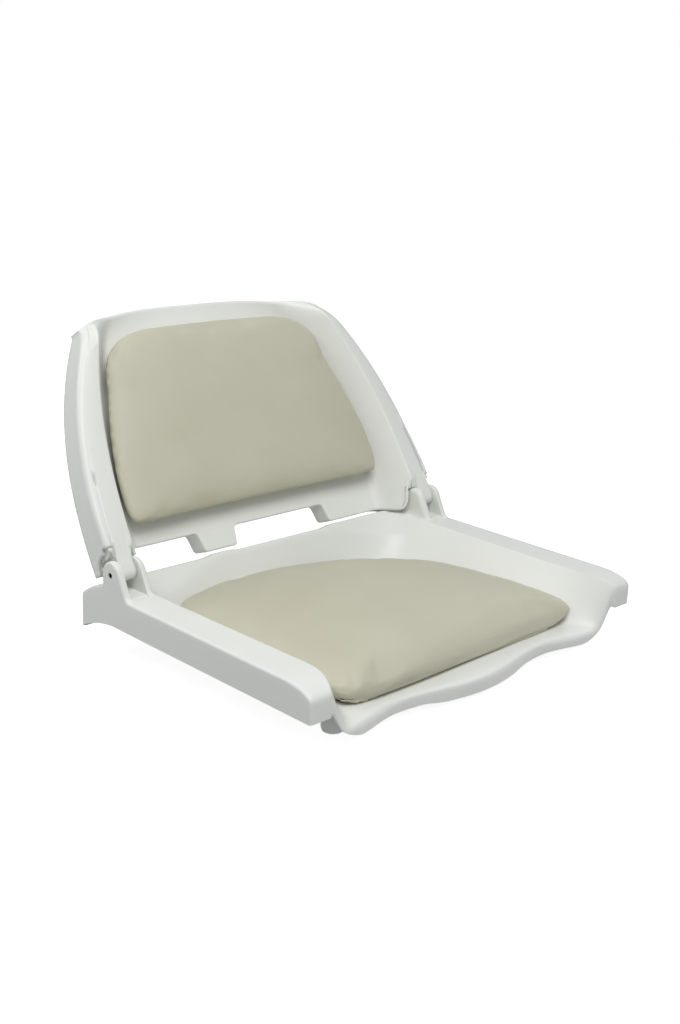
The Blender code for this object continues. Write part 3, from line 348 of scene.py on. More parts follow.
def rail_rows():
    """Side outline of a rail from the foot of its nose over the ear to the foot of its tail.

    Returns the outline's setbacks and heights, the same rows' plain setbacks and heights with
    no ear on them, and the setbacks of their feet along the underside.
    """
    face = np.linspace(0.0, NOSE_FACE_HEIGHT, 6)[:-1]
    turn = np.linspace(0.0, math.pi / 2, 14)
    lean_top = HINGE_HEIGHT + EAR_RADIUS * math.sin(EAR_LEAN)
    lean_setback = HINGE_SETBACK - EAR_RADIUS * math.cos(EAR_LEAN)
    foot = lean_setback - (lean_top - RAIL_HEIGHT) * math.tan(EAR_LEAN)
    reach = EAR_FOOT_RADIUS * math.tan((math.pi / 2 - EAR_LEAN) / 2)
    top = NOSE_LENGTH + (foot - reach - NOSE_LENGTH) * np.linspace(0.0, 1.0, 52)[1:]
    bend = np.linspace(-math.pi / 2, -EAR_LEAN, 9)[1:]
    rise_share = reach * math.cos(EAR_LEAN) / (lean_top - RAIL_HEIGHT)
    lean = np.linspace(rise_share, 1.0, 10)[1:-1]
    arc = np.linspace(math.pi - EAR_LEAN, 0.0, 20)
    rear = np.linspace(0.0, 1.0, 8)[1:]
    tail = np.linspace(HINGE_SETBACK + EAR_RADIUS, TAIL_END_SETBACK, 26)[1:]
    drop = np.linspace(0.0, 1.0, 12)[1:]
    outline_y = np.concatenate([
        0 * face, NOSE_LENGTH * (1 - np.cos(turn)), top,
        foot - reach + EAR_FOOT_RADIUS * np.cos(bend), foot + (lean_setback - foot) * lean,
        HINGE_SETBACK + EAR_RADIUS * np.cos(arc), 0 * rear + HINGE_SETBACK + EAR_RADIUS, tail,
        0 * drop + TAIL_END_SETBACK])
    outline_z = np.concatenate([
        face, NOSE_FACE_HEIGHT + (RAIL_HEIGHT - NOSE_FACE_HEIGHT) * np.sin(turn), 0 * top + RAIL_HEIGHT,
        RAIL_HEIGHT + EAR_FOOT_RADIUS * (1 + np.sin(bend)),
        RAIL_HEIGHT + (lean_top - RAIL_HEIGHT) * lean, HINGE_HEIGHT + EAR_RADIUS * np.sin(arc),
        HINGE_HEIGHT + (TAIL_START_HEIGHT - HINGE_HEIGHT) * rear, tail_top(tail),
        TAIL_END_HEIGHT - (TAIL_END_HEIGHT + TAIL_FOOT_DROP) * drop])
    outline_y, outline_z = soften(outline_y, 2), soften(outline_z, 2)
    first = len(face) + len(turn) + len(top)
    last = first + len(bend) + len(lean) + len(arc) + len(rear)
    plain_y, plain_z = outline_y.copy(), outline_z.copy()
    plain_y[first:last] = np.linspace(plain_y[first - 1], plain_y[last], last - first + 2)[1:-1]
    plain_z[first:last] = RAIL_HEIGHT
    foot_y = plain_y.copy()
    nose = len(face) + len(turn)
    foot_y[:nose] = np.linspace(RAIL_EDGE_RADIUS, plain_y[nose], nose, endpoint=False)
    fan = len(plain_y) - len(drop) - 6
    foot_y[fan:] = np.linspace(foot_y[fan], TAIL_END_SETBACK - RAIL_EDGE_RADIUS, len(foot_y) - fan)
    return outline_y, outline_z, plain_y, plain_z, foot_y


def inward_normals(y, z):
    """Unit normals to the right of a path, which is its inner side."""
    along = np.stack([np.gradient(y), np.gradient(z)], axis=-1)
    along /= np.linalg.norm(along, axis=-1, keepdims=True)
    return along[:, 1], -along[:, 0]


def pan_half_width(setback):
    """Half width of the pan between the rails' inner edges, flared at the nose."""
    run = np.clip(setback / HINGE_SETBACK, 0.0, 1.0)
    rail_top = RAIL_TOP_WIDTH_FRONT + (RAIL_TOP_WIDTH_REAR - RAIL_TOP_WIDTH_FRONT) * run
    return HALF_WIDTH - rail_top + NOSE_FLARE * np.clip(1 - setback / NOSE_FLARE_LENGTH, 0.0, 1.0) ** 2


def pan_height(x, setback):
    """Flat floor whose walls curve up: mean of two rounded squares, raised to the wall's power."""
    across = np.abs(x) / pan_half_width(setback)
    back = np.clip((setback - BOWL_BACK_SETBACK) / (CREST_SETBACK - BOWL_BACK_SETBACK), 0.0, 1.0)
    start = WALL_START_SHARE + WALL_FRONT_SHARE * np.clip(1 - setback / BOWL_FRONT_LENGTH, 0.0, 1.0) ** 2
    rise = 0.0
    for power in BOWL_CORNER_POWERS:
        reach = (across ** power + back ** power) ** (1 / power)
        wall = np.clip((reach - start) / (1 - start), 0.0, 1.0)
        rise = rise + wall ** WALL_CURVE_POWER / len(BOWL_CORNER_POWERS)
    top = RAIL_HEIGHT + (tail_top(CREST_SETBACK) - RAIL_HEIGHT) * back
    return -PAN_FLOOR_DROP + (top + PAN_FLOOR_DROP) * rise


def lip_front(x):
    """Scalloped front edge: cosine waves between a centre lobe, two valleys and corner lobes."""
    place = np.abs(x) / LIP_HALF_WIDTH
    inner = np.clip(place / LIP_VALLEY_SHARE, 0.0, 1.0)
    outer = np.clip((place - LIP_VALLEY_SHARE) / (LIP_CORNER_SHARE - LIP_VALLEY_SHARE), 0.0, 1.0)
    fall = LIP_VALLEY_DEPTH * (1 - np.cos(math.pi * inner)) / 2
    return fall - (LIP_VALLEY_DEPTH - LIP_CORNER_DEPTH) * (1 - np.cos(math.pi * outer)) / 2


def lip_bottom(x):
    """Height of the lip's lower edge: shares of its drop, rounded off by averaging."""
    places = np.linspace(0.0, 1.1, 221)
    drops = soften(np.interp(places, LIP_PLACE_SHARES, LIP_DROP_SHARES), LIP_SOFT_PASSES)
    return -LIP_DROP * np.interp(np.abs(x) / LIP_HALF_WIDTH, places, drops)


def pan_columns(rows_y, rows_z):
    """Pan surface on the rail's rows: lip face, rolled edge, bowl, crest and rear face.

    The edge's roll is a quarter circle, and each row follows the lip's scallops less and less
    the farther back it lies.
    """
    shares = np.linspace(-1.0, 1.0, PAN_COLUMNS)
    shares = np.sign(shares) * (1 - (1 - np.abs(shares)) ** PAN_COLUMN_POWER)
    y = rows_y[:, None] + 0 * shares
    x = shares * pan_half_width(y)
    follow = np.clip(1 - y / LIP_FOLLOW_LENGTH, 0.0, 1.0)
    setback = y + lip_front(x) * follow
    x = shares * pan_half_width(setback)
    inside = np.clip(setback - lip_front(x), 0.0, LIP_ROUND)
    roll = LIP_ROUND - np.sqrt(np.clip(LIP_ROUND ** 2 - (LIP_ROUND - inside) ** 2, 0.0, None))
    height = pan_height(x, setback) - roll
    face = rows_z[:, None] / NOSE_FACE_HEIGHT
    on_face = (rows_y[:, None] < ROW_SLACK) & (face < 1.0)
    edge = pan_height(x, lip_front(x)) - LIP_ROUND
    height = np.where(on_face, lip_bottom(x) + (edge - lip_bottom(x)) * np.clip(face, 0.0, 1.0), height)
    lip_top = tail_top(setback)
    for low, high in STOP_SPANS:
        within = np.clip((x - low) / STOP_RISE, 0.0, 1.0) * np.clip((high - x) / STOP_RISE, 0.0, 1.0)
        lip_top = lip_top + STOP_RISE * within
    behind = setback >= CREST_SETBACK
    height = np.where(behind, lip_top, height)
    down = rows_y[:, None] > TAIL_END_SETBACK - ROW_SLACK
    height = np.where(down, np.minimum(rows_z[:, None] + 0 * x, height), height)
    return x, setback, height


def side_columns(side):
    """Rail, ears and outer wall on one side, as columns of (x, setback, height) from the pan out.

    A wall of an ear spans from the ear's outline, drawn in by the edge radius, down to the plain
    rail. Where there is no ear the same columns lie flat on the rail.
    """
    y, z, plain_y, plain_z, foot_y = rail_rows()
    in_y, in_z = inward_normals(y, z)
    rise = np.clip(z - plain_z, 0.0, None)
    slot_z = np.where(plain_y < SLOT_REAR_SETBACK, np.minimum(plain_z, RAIL_HEIGHT), plain_z)
    slot_z = slot_z + SLOT_FLOOR_RISE * np.clip(rise / SLOT_FLOOR_START - 1.0, 0.0, 1.0)
    edge = pan_half_width(plain_y)
    top_edge = HALF_WIDTH - RAIL_EDGE_RADIUS
    turns = np.linspace(0.0, math.pi / 2, 6)
    columns = []

    def placed(base_x):
        """A base place between the ear's inner face and the outer radius, at each row."""
        share = (base_x - EAR_INNER) / (top_edge - EAR_INNER)
        return edge + share * (top_edge - edge)

    def outline(base_x, radius, turn):
        inset = np.minimum(radius, rise) * (1 - math.sin(turn))
        columns.append((placed(base_x), y + in_y * inset, z + in_z * inset))

    def wall(base_x, radius, low_z, share):
        inset = np.minimum(radius, rise)
        high_y, high_z = y + in_y * inset, z + in_z * inset
        columns.append((placed(base_x), plain_y + (high_y - plain_y) * share, low_z + (high_z - low_z) * share))

    for share in (0.0, 0.15, 0.4, 0.7):
        wall(EAR_INNER, EAR_SOFT_RADIUS, plain_z, share)
    for turn in turns:
        outline(EAR_INNER + EAR_SOFT_RADIUS * (1 - math.cos(turn)), EAR_SOFT_RADIUS, turn)
    for turn in turns[::-1][:-1]:
        outline(SLOT_INNER - EAR_CRISP_RADIUS * (1 - math.cos(turn)), EAR_CRISP_RADIUS, turn)
    for share in (1.0, 0.6, 0.3, 0.1, 0.0):
        wall(SLOT_INNER, EAR_CRISP_RADIUS, slot_z, share)
    for share in (0.08, 0.3, 0.5, 0.7, 0.92):
        columns.append((placed(SLOT_INNER + SLOT_WIDTH * share), plain_y, slot_z))
    for share in (0.0, 0.1, 0.3, 0.6, 1.0):
        wall(SLOT_OUTER, EAR_CRISP_RADIUS, slot_z, share)
    for turn in turns[1:]:
        outline(SLOT_OUTER + EAR_CRISP_RADIUS * (1 - math.cos(turn)), EAR_CRISP_RADIUS, turn)
    for turn in turns[::-1]:
        inset = RAIL_EDGE_RADIUS * (1 - math.sin(turn))
        x = np.full_like(y, HALF_WIDTH - RAIL_EDGE_RADIUS * (1 - math.cos(turn)))
        columns.append((x, y + in_y * inset, z + in_z * inset))
    for share in (0.15, 0.3, 0.45, 0.6, 0.75, 0.9, 1.0):
        high_y, high_z = y + in_y * RAIL_EDGE_RADIUS, z + in_z * RAIL_EDGE_RADIUS
        low_z = tail_bottom(foot_y)
        x = np.full_like(y, HALF_WIDTH)
        columns.append((x, high_y + (foot_y - high_y) * share, high_z + (low_z - high_z) * share))
    block = np.array(columns).transpose(2, 0, 1)
    if side < 0:
        block = block[:, ::-1] * np.array([-1.0, 1.0, 1.0])
    return block


def make_base_moulding():
    plain_y, plain_z = rail_rows()[2:4]
    pan = np.stack(pan_columns(plain_y, plain_z), axis=-1)
    left, right = side_columns(-1), side_columns(1)
    whole = np.concatenate([left, pan[:, 1:-1], right], axis=1)
    start, stop = left.shape[1] - 3, left.shape[1] + pan.shape[1] + 1
    smooth = soften(soften(whole, 3, axis=1), 2, axis=0)
    eased = np.zeros(whole.shape[:2])
    eased[1:-1, start:stop] = 1.0
    whole = whole + (smooth - whole) * eased[..., None]
    whole = whole + np.array([0.0, FRONT_Y, UNDERSIDE_Z])
    piece = grid_object("base_moulding", whole, MOULD_WELD, MOULD_THIN)
    thicken(piece, WALL)
    apply_modifiers(piece)
    return piece


base_moulding = make_base_moulding()
for side in (-1, 1):
    cut_round_hole(base_moulding, PIN_HOLE_RADIUS, (side * (SLOT_OUTER - WALL), HINGE.y, HINGE.z),
                   (side * (HALF_WIDTH + WALL), HINGE.y, HINGE.z))
base_moulding.data.set_sharp_from_angle(angle=BASE_CREASE)


def start_material(name):
    """A new material, its tree and shader, and a link that lays a pattern on the piece itself."""
    material = bpy.data.materials.new(name)
    material.use_nodes = True
    tree = material.node_tree
    place = add_node(tree, "ShaderNodeTexCoord")
    return material, tree, tree.nodes["Principled BSDF"], (("Vector", place.outputs["Object"]),)


def mottle(tree, source, tones, places=(0.0, 1.0)):
    """Base colour that runs between two tones with a pattern."""
    tint = add_node(tree, "ShaderNodeValToRGB", links=(("Fac", source.outputs[0]),))
    for element, tone, place in zip(tint.color_ramp.elements, tones, places):
        element.position = place
        element.color = linear(tone)
    tree.links.new(tint.outputs["Color"], tree.nodes["Principled BSDF"].inputs["Base Color"])


def moulded_polypropylene():
    """Injection-moulded polypropylene: satin, with a very fine sparked texture about 0.5 mm
    across and slow waves from uneven cooling."""
    material, tree, shader, on_piece = start_material("moulded_polypropylene")
    clouds = add_node(tree, "ShaderNodeTexNoise", in_Scale=14.0, in_Detail=2.0, links=on_piece)
    mottle(tree, clouds, ("E3E5DF", "E9EAE5"))
    spark = add_node(tree, "ShaderNodeTexNoise", in_Scale=1900.0, in_Detail=3.0, links=on_piece)
    waves = add_node(tree, "ShaderNodeTexNoise", in_Scale=22.0, in_Detail=1.0, links=on_piece)
    fine = add_node(tree, "ShaderNodeBump", in_Strength=0.10, in_Distance=0.0003,
                    links=(("Height", spark.outputs[0]),))
    slow = add_node(tree, "ShaderNodeBump", in_Strength=0.10, in_Distance=0.002,
                    links=(("Height", waves.outputs[0]), ("Normal", fine.outputs[0])))
    tree.links.new(slow.outputs[0], shader.inputs["Normal"])
    gloss = add_node(tree, "ShaderNodeMapRange", in_To_Min=0.36, in_To_Max=0.46,
                     links=(("Value", clouds.outputs[0]),))
    tree.links.new(gloss.outputs[0], shader.inputs["Roughness"])
    shader.inputs["IOR"].default_value = 1.49
    return material


polypropylene = moulded_polypropylene()
base_moulding.data.materials.clear()
base_moulding.data.materials.append(polypropylene)
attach(base_moulding, "base")
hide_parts("seat_base")

# Mounting ribs: a lattice of moulded ribs and bosses under the pan, on the three-rib pitch of
# the bolt pattern, with the centre web that the mounting face is measured from. The two front
# feet and the webs inside the rails belong to the same moulding.

BOLT_PITCH = 0.127
RIB_COUNT = 6
RIB_WIDTH = 0.0040
RIB_SOFT = 0.0008
BOSS_RADIUS = 0.0100
BOSS_HOLE_RADIUS = 0.0061
CENTRE_WEB_RADIUS = 0.0225
FOOT_RADIUS = 0.0110
FOOT_OFFSET = 0.1905
FOOT_SETBACK = 0.0220
FOOT_DROP = 0.0288
FOOT_PROFILE_SHARES = ((0.0, 0.0), (0.6, 0.0004), (0.9, 0.0022), (1.0, 0.0055))
RIB_SINK = 0.0012
RIB_TOP = UNDERSIDE_Z - PAN_FLOOR_DROP - WALL + RIB_SINK
RIB_CREASE = math.radians(40.0)
BOSS_HOLE_DEPTH = 0.0130
BOSS_CHAMFER = 0.0004
CENTRE_WEB_PROUD = 0.00005
RAIL_WEB_INSET = 0.0305
RAIL_WEB_SHIFT = 0.0010
RAIL_WEB_ROWS = slice(18, -4)


def turned_grid(profile, x, y, sides=36):
    """A profile of (radius, height) carried round an upright axis."""
    profile = np.array(profile)
    angle = np.linspace(0.0, 2 * math.pi, sides + 1)
    radius, height = profile[:, :1], profile[:, 1:]
    return np.stack([x + radius * np.cos(angle), y + radius * np.sin(angle), height + 0 * angle], axis=-1)


def bar_grid(low, high, soft):
    """An upright bar as rings round it, with softened lower edges: closed foot, open top."""
    low, high = np.array(low), np.array(high)
    rings = []
    for inset, height in ((None, low[2]), (soft, low[2]), (0.3 * soft, low[2] + 0.3 * soft),
                          (0.0, low[2] + soft), (0.0, high[2])):
        if inset is None:
            x = np.full(5, (low[0] + high[0]) / 2)
            y = np.array([low[1] + soft, high[1] - soft])[[0, 0, 1, 1, 0]]
        else:
            x = np.array([low[0] + inset, high[0] - inset])[[0, 1, 1, 0, 0]]
            y = np.array([low[1] + inset, high[1] - inset])[[0, 0, 1, 1, 0]]
        rings.append(np.stack([x, y, np.full(5, height)], axis=-1))
    return np.array(rings)


def join_pieces(name, pieces, crease=None, place=None):
    """One object from several, put in its place, with faces outward and sharp edges past an angle."""
    shape = bmesh.new()
    for piece in pieces:
        shape.from_mesh(piece.data)
        bpy.data.objects.remove(piece)
    bmesh.ops.transform(shape, matrix=place or Matrix(), verts=shape.verts)
    bmesh.ops.recalc_face_normals(shape, faces=shape.faces)
    whole = add_object(name, shape)
    whole.data.shade_smooth()
    if crease is not None:
        whole.data.set_sharp_from_angle(angle=crease)
    return whole


def make_mounting_ribs():
    pieces = []
    reach = BOLT_PITCH / 3 * (RIB_COUNT - 1) / 2
    half = RIB_WIDTH / 2
    for place in np.linspace(-reach, reach, RIB_COUNT):
        along = bar_grid((place - half, -reach - half, 0.0), (place + half, reach + half, RIB_TOP), RIB_SOFT)
        across = bar_grid((-reach - half, place - half, 0.0), (reach + half, place + half, RIB_TOP), RIB_SOFT)
        pieces += [grid_object("rib", along), grid_object("rib", across)]
    for x in (-BOLT_PITCH / 2, BOLT_PITCH / 2):
        for y in (-BOLT_PITCH / 2, BOLT_PITCH / 2):
            profile = [(BOSS_HOLE_RADIUS, BOSS_HOLE_DEPTH), (BOSS_HOLE_RADIUS, BOSS_CHAMFER),
                       (BOSS_HOLE_RADIUS + BOSS_CHAMFER, 0.0), (BOSS_RADIUS - RIB_SOFT, 0.0),
                       (BOSS_RADIUS, RIB_SOFT), (BOSS_RADIUS, RIB_TOP)]
            pieces.append(grid_object("boss", turned_grid(profile, x, y)))
    web = [(0.0, -CENTRE_WEB_PROUD), (CENTRE_WEB_RADIUS - RIB_SOFT, -CENTRE_WEB_PROUD),
           (CENTRE_WEB_RADIUS, RIB_SOFT), (CENTRE_WEB_RADIUS, RIB_WIDTH), (0.0, RIB_WIDTH)]
    pieces.append(grid_object("web", turned_grid(web, 0.0, 0.0, 64)))
    for side in (-1, 1):
        low = UNDERSIDE_Z - FOOT_DROP
        foot = [(FOOT_RADIUS * share, low + rise) for share, rise in FOOT_PROFILE_SHARES]
        foot.append((FOOT_RADIUS, UNDERSIDE_Z - PAN_FLOOR_DROP))
        grid = turned_grid(foot, side * FOOT_OFFSET, FOOT_SETBACK + FRONT_Y)
        grid[-1, :, 2] = UNDERSIDE_Z + pan_height(grid[-1, :, 0], grid[-1, :, 1] - FRONT_Y) - WALL / 2
        pieces.append(grid_object("foot", grid))
    plain_z, foot_y = rail_rows()[3:]
    for side in (-1, 1):
        inner = HALF_WIDTH - RAIL_WEB_INSET
        low_z, high_z = tail_bottom(foot_y), np.minimum(plain_z, RAIL_HEIGHT) - RIB_SINK
        high_z = np.maximum(high_z, low_z)
        rings = [(inner, low_z), (inner, high_z), (inner + WALL, high_z), (inner + WALL, low_z), (inner, low_z)]
        grid = np.stack([np.stack([np.full_like(foot_y, side * x), foot_y + FRONT_Y + RAIL_WEB_SHIFT,
                                   height + UNDERSIDE_Z], axis=-1) for x, height in rings], axis=1)
        pieces.append(grid_object("rail_web", grid[RAIL_WEB_ROWS]))
    return join_pieces("mounting_ribs", pieces, RIB_CREASE)


mounting_ribs = make_mounting_ribs()
mounting_ribs.data.materials.append(polypropylene)
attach(mounting_ribs, "base")

# Back moulding: the second white polypropylene moulding. A rim with a rolled edge frames a
# dished panel, the lower edge has two hand notches with a turned-back flange, and a rounded
# tongue on each side sits between the base's ears.

RECLINE = math.radians(32.0)
RIM_OFFSET = 0.0083
RIM_DEPTH = 0.0350
RIM_NARROWING = 0.0588
RIM_NARROWING_HEIGHT = 0.2486
RIM_NARROWING_POWER = 2.5
RIM_FACE_WIDTH = 0.0320
RIM_FACE_NARROWING = 0.0150
RIM_FACE_POWER = 2.6
RIM_EDGE_RADIUS = 0.0048
RIM_SIDE_GAP = 0.0003
RIM_FALL = 0.0036
RIM_FALL_START = 0.030
RIM_FALL_LENGTH = 0.070
DISH_DEPTH = 0.0430
DISH_SLOPE_WIDTH = 0.0360
BACK_BOTTOM = 0.0045
BACK_TOP = 0.2923
ARCH_DROP = 0.0265
ARCH_HALF_WIDTH = 0.1702
ARCH_POWER = 3.1
SHOULDER_DEPTH = 0.0156
SHOULDER_LENGTH = 0.0280
SHOULDER_POWER = 2.9
TOP_ROUND = 0.0040
TOP_FLANGE_DEPTH = 0.0150
NOTCH_TOP = 0.0267
NOTCH_NEAR_END = -0.0905
NOTCH_CENTRE_START = -0.0415
NOTCH_CENTRE_END = 0.0925
NOTCH_SIDE_LEAN = 0.0040
NOTCH_RADIUS = 0.0050
FLANGE_ROUND = 0.0022
FLANGE_LENGTH = 0.0220
FLANGE_RISE_SHARE = 0.19
FLANGE_SIDE_DEPTH = 0.0200
NOTCH_FADE_HEIGHT = 0.0600
TONGUE_WIDTH = 0.0185
TONGUE_UNDERCUT = 0.0125
RELIEF_RADIUS_OUTER = 0.0215
RELIEF_STEP = 0.0272
RELIEF_RADIUS_INNER = 0.0237
RELIEF_BEVEL_UP = 0.0147
RELIEF_BEVEL_DEPTH = 0.0060
RELIEF_REAR_DEPTH = 0.0230
FAR_SLOPE_END = 0.1940
FAR_SLOPE_DROP = 0.47
FAR_SLOPE_POWERS = (1.6, 0.62)
TONGUE_INNER = SLOT_INNER + (SLOT_WIDTH - TONGUE_WIDTH) / 2
TONGUE_OUTER = TONGUE_INNER + TONGUE_WIDTH
RELIEF_INNER = EAR_INNER - (TONGUE_INNER - SLOT_INNER)

WALL_SHARES = (1.0, 0.9, 0.83, 0.80, 0.75, 0.66, 0.56, 0.45, 0.34, 0.22, 0.13, 0.115)
EDGE_TURNS = np.radians([0.0, 20.0, 40.0, 60.0, 80.0, 90.0])
QUARTER_TURN = np.linspace(0.0, math.pi / 2, 7)[1:]
TONGUE_START_SHARE = 0.112
TONGUE_END_SHARE = 0.792
FACE_SHARES = (
    0.06, TONGUE_START_SHARE, 0.1121, 0.25, 0.45, 0.65, 0.7919, TONGUE_END_SHARE, 0.87, 0.95,
)
SLOPE_SHARES = (
    0.0, 0.04, 0.09, 0.115, 0.125, 0.14, 0.17, 0.22, 0.26, 0.30, 0.34, 0.38, 0.46, 0.54, 0.62,
    0.70, 0.78, 0.86, 0.93,
)
RETURN_ROWS = 11


def rim_outer(up):
    """Half width of the rim: full, less a power of the height."""
    run = (np.abs(up) / RIM_NARROWING_HEIGHT) ** RIM_NARROWING_POWER
    return HALF_WIDTH - RIM_SIDE_GAP - RIM_NARROWING * run


def rim_inner(up):
    """Half width of the rim's inner edge: the face narrows with a power of the height."""
    run = (np.abs(up) / RIM_NARROWING_HEIGHT) ** RIM_FACE_POWER
    return rim_outer(up) - RIM_FACE_WIDTH + RIM_FACE_NARROWING * run


def arch_top(x):
    """Top edge: highest in the middle, falling with a power of the distance."""
    return BACK_TOP - ARCH_DROP * (np.abs(x) / ARCH_HALF_WIDTH) ** ARCH_POWER


def face_depth(x, up):
    """Depth of the front face: rim, even slope eased into a flat panel, rolled-back top."""
    run = np.clip((rim_inner(up) - np.abs(x)) / DISH_SLOPE_WIDTH, 0.0, 1.0)
    dish = DISH_DEPTH * np.minimum(run * (1 + run * (1 - run)), 1.0)
    top = DISH_DEPTH - (DISH_DEPTH - SHOULDER_DEPTH) * (np.abs(x) / ARCH_HALF_WIDTH) ** SHOULDER_POWER
    near = np.clip(1 - (arch_top(x) - up) / SHOULDER_LENGTH, 0.0, 1.0) ** 2
    return dish + (top - dish) * near


def rim_fall(x, up):
    """How far the rim's face falls back towards its outer edge: a square of the share across,
    eased in above the tongues."""
    share = np.clip((np.abs(x) - rim_inner(up)) / (rim_outer(up) - rim_inner(up)), 0.0, 1.0)
    ease = np.clip((up - RIM_FALL_START) / RIM_FALL_LENGTH, 0.0, 1.0)
    return RIM_FALL * share ** 2 * ease * ease * (3 - 2 * ease)


def rounded_path(corners, radius, steps):
    """A path through corners whose inner ones become arcs of one radius."""
    points = [np.array(corners[0])]
    for before, corner, after in zip(corners, corners[1:], corners[2:]):
        before, corner, after = np.array(before), np.array(corner), np.array(after)
        back = (before - corner) / np.linalg.norm(before - corner)
        ahead = (after - corner) / np.linalg.norm(after - corner)
        half = math.acos(np.clip(back @ ahead, -1.0, 1.0)) / 2
        bisector = (back + ahead) / np.linalg.norm(back + ahead)
        centre = corner + bisector * radius / math.sin(half)
        start, end = corner + back * radius / math.tan(half), corner + ahead * radius / math.tan(half)
        sweep = math.pi - 2 * half
        for share in np.linspace(0.0, 1.0, steps):
            mix = np.sin((1 - share) * sweep) * (start - centre) + np.sin(share * sweep) * (end - centre)
            points.append(centre + mix / math.sin(sweep))
    points.append(np.array(corners[-1]))
    return np.array(points)


def panel_edge():
    """Lower edge of the panel between the two slopes, and its normals out of the material."""
    half = rim_inner(BACK_BOTTOM) - DISH_SLOPE_WIDTH
    lean = NOTCH_SIDE_LEAN
    corners = [
        (-half, NOTCH_TOP), (NOTCH_NEAR_END - lean, NOTCH_TOP), (NOTCH_NEAR_END, BACK_BOTTOM),
        (NOTCH_CENTRE_START - lean, BACK_BOTTOM), (NOTCH_CENTRE_START, NOTCH_TOP),
        (NOTCH_CENTRE_END, NOTCH_TOP), (NOTCH_CENTRE_END + lean, BACK_BOTTOM), (half, BACK_BOTTOM),
    ]
    path = rounded_path(corners, NOTCH_RADIUS, 9)
    dense = [path[:1]]
    for start, end in zip(path, path[1:]):
        count = max(1, int(np.linalg.norm(end - start) / 0.005))
        dense.append(start + (end - start) * np.linspace(0.0, 1.0, count + 1)[1:, None])
    path = np.concatenate(dense)
    along = np.gradient(path, axis=0)
    along /= np.linalg.norm(along, axis=1, keepdims=True)
    return path, np.stack([along[:, 1], -along[:, 0]], axis=-1)


def relief_bottom(radius, depth):
    """Height of a round relief about the hinge axis at a depth."""
    return np.sqrt(np.clip(radius ** 2 - (depth - RIM_OFFSET) ** 2, BACK_BOTTOM ** 2, None))


def far_slope_bottom(x):
    """Lower edge of the far slope: level with the base's rear lip, then part of an oval up to
    the relief beside the ear."""
    depth = float(face_depth(x, BACK_BOTTOM))
    low = BACK_BOTTOM - (DISH_DEPTH - depth) * FAR_SLOPE_DROP
    share = min(max((x - FAR_SLOPE_END) / (RELIEF_INNER - FAR_SLOPE_END), 0.0), 1.0)
    high = float(relief_bottom(RELIEF_RADIUS_INNER, depth))
    along, rise = FAR_SLOPE_POWERS
    return low + (high - low) * (1 - (1 - share ** along) ** rise)


def back_rows():
    """Shares up the back from its lower edge to where the top's roll begins."""
    low = np.linspace(0.0, 0.12, 9)[:-1]
    middle = np.linspace(0.12, 0.86, 38)[:-1]
    high = 0.86 + 0.14 * np.linspace(0.0, 1.0, 20) ** 0.8
    return np.concatenate([low, middle, high])


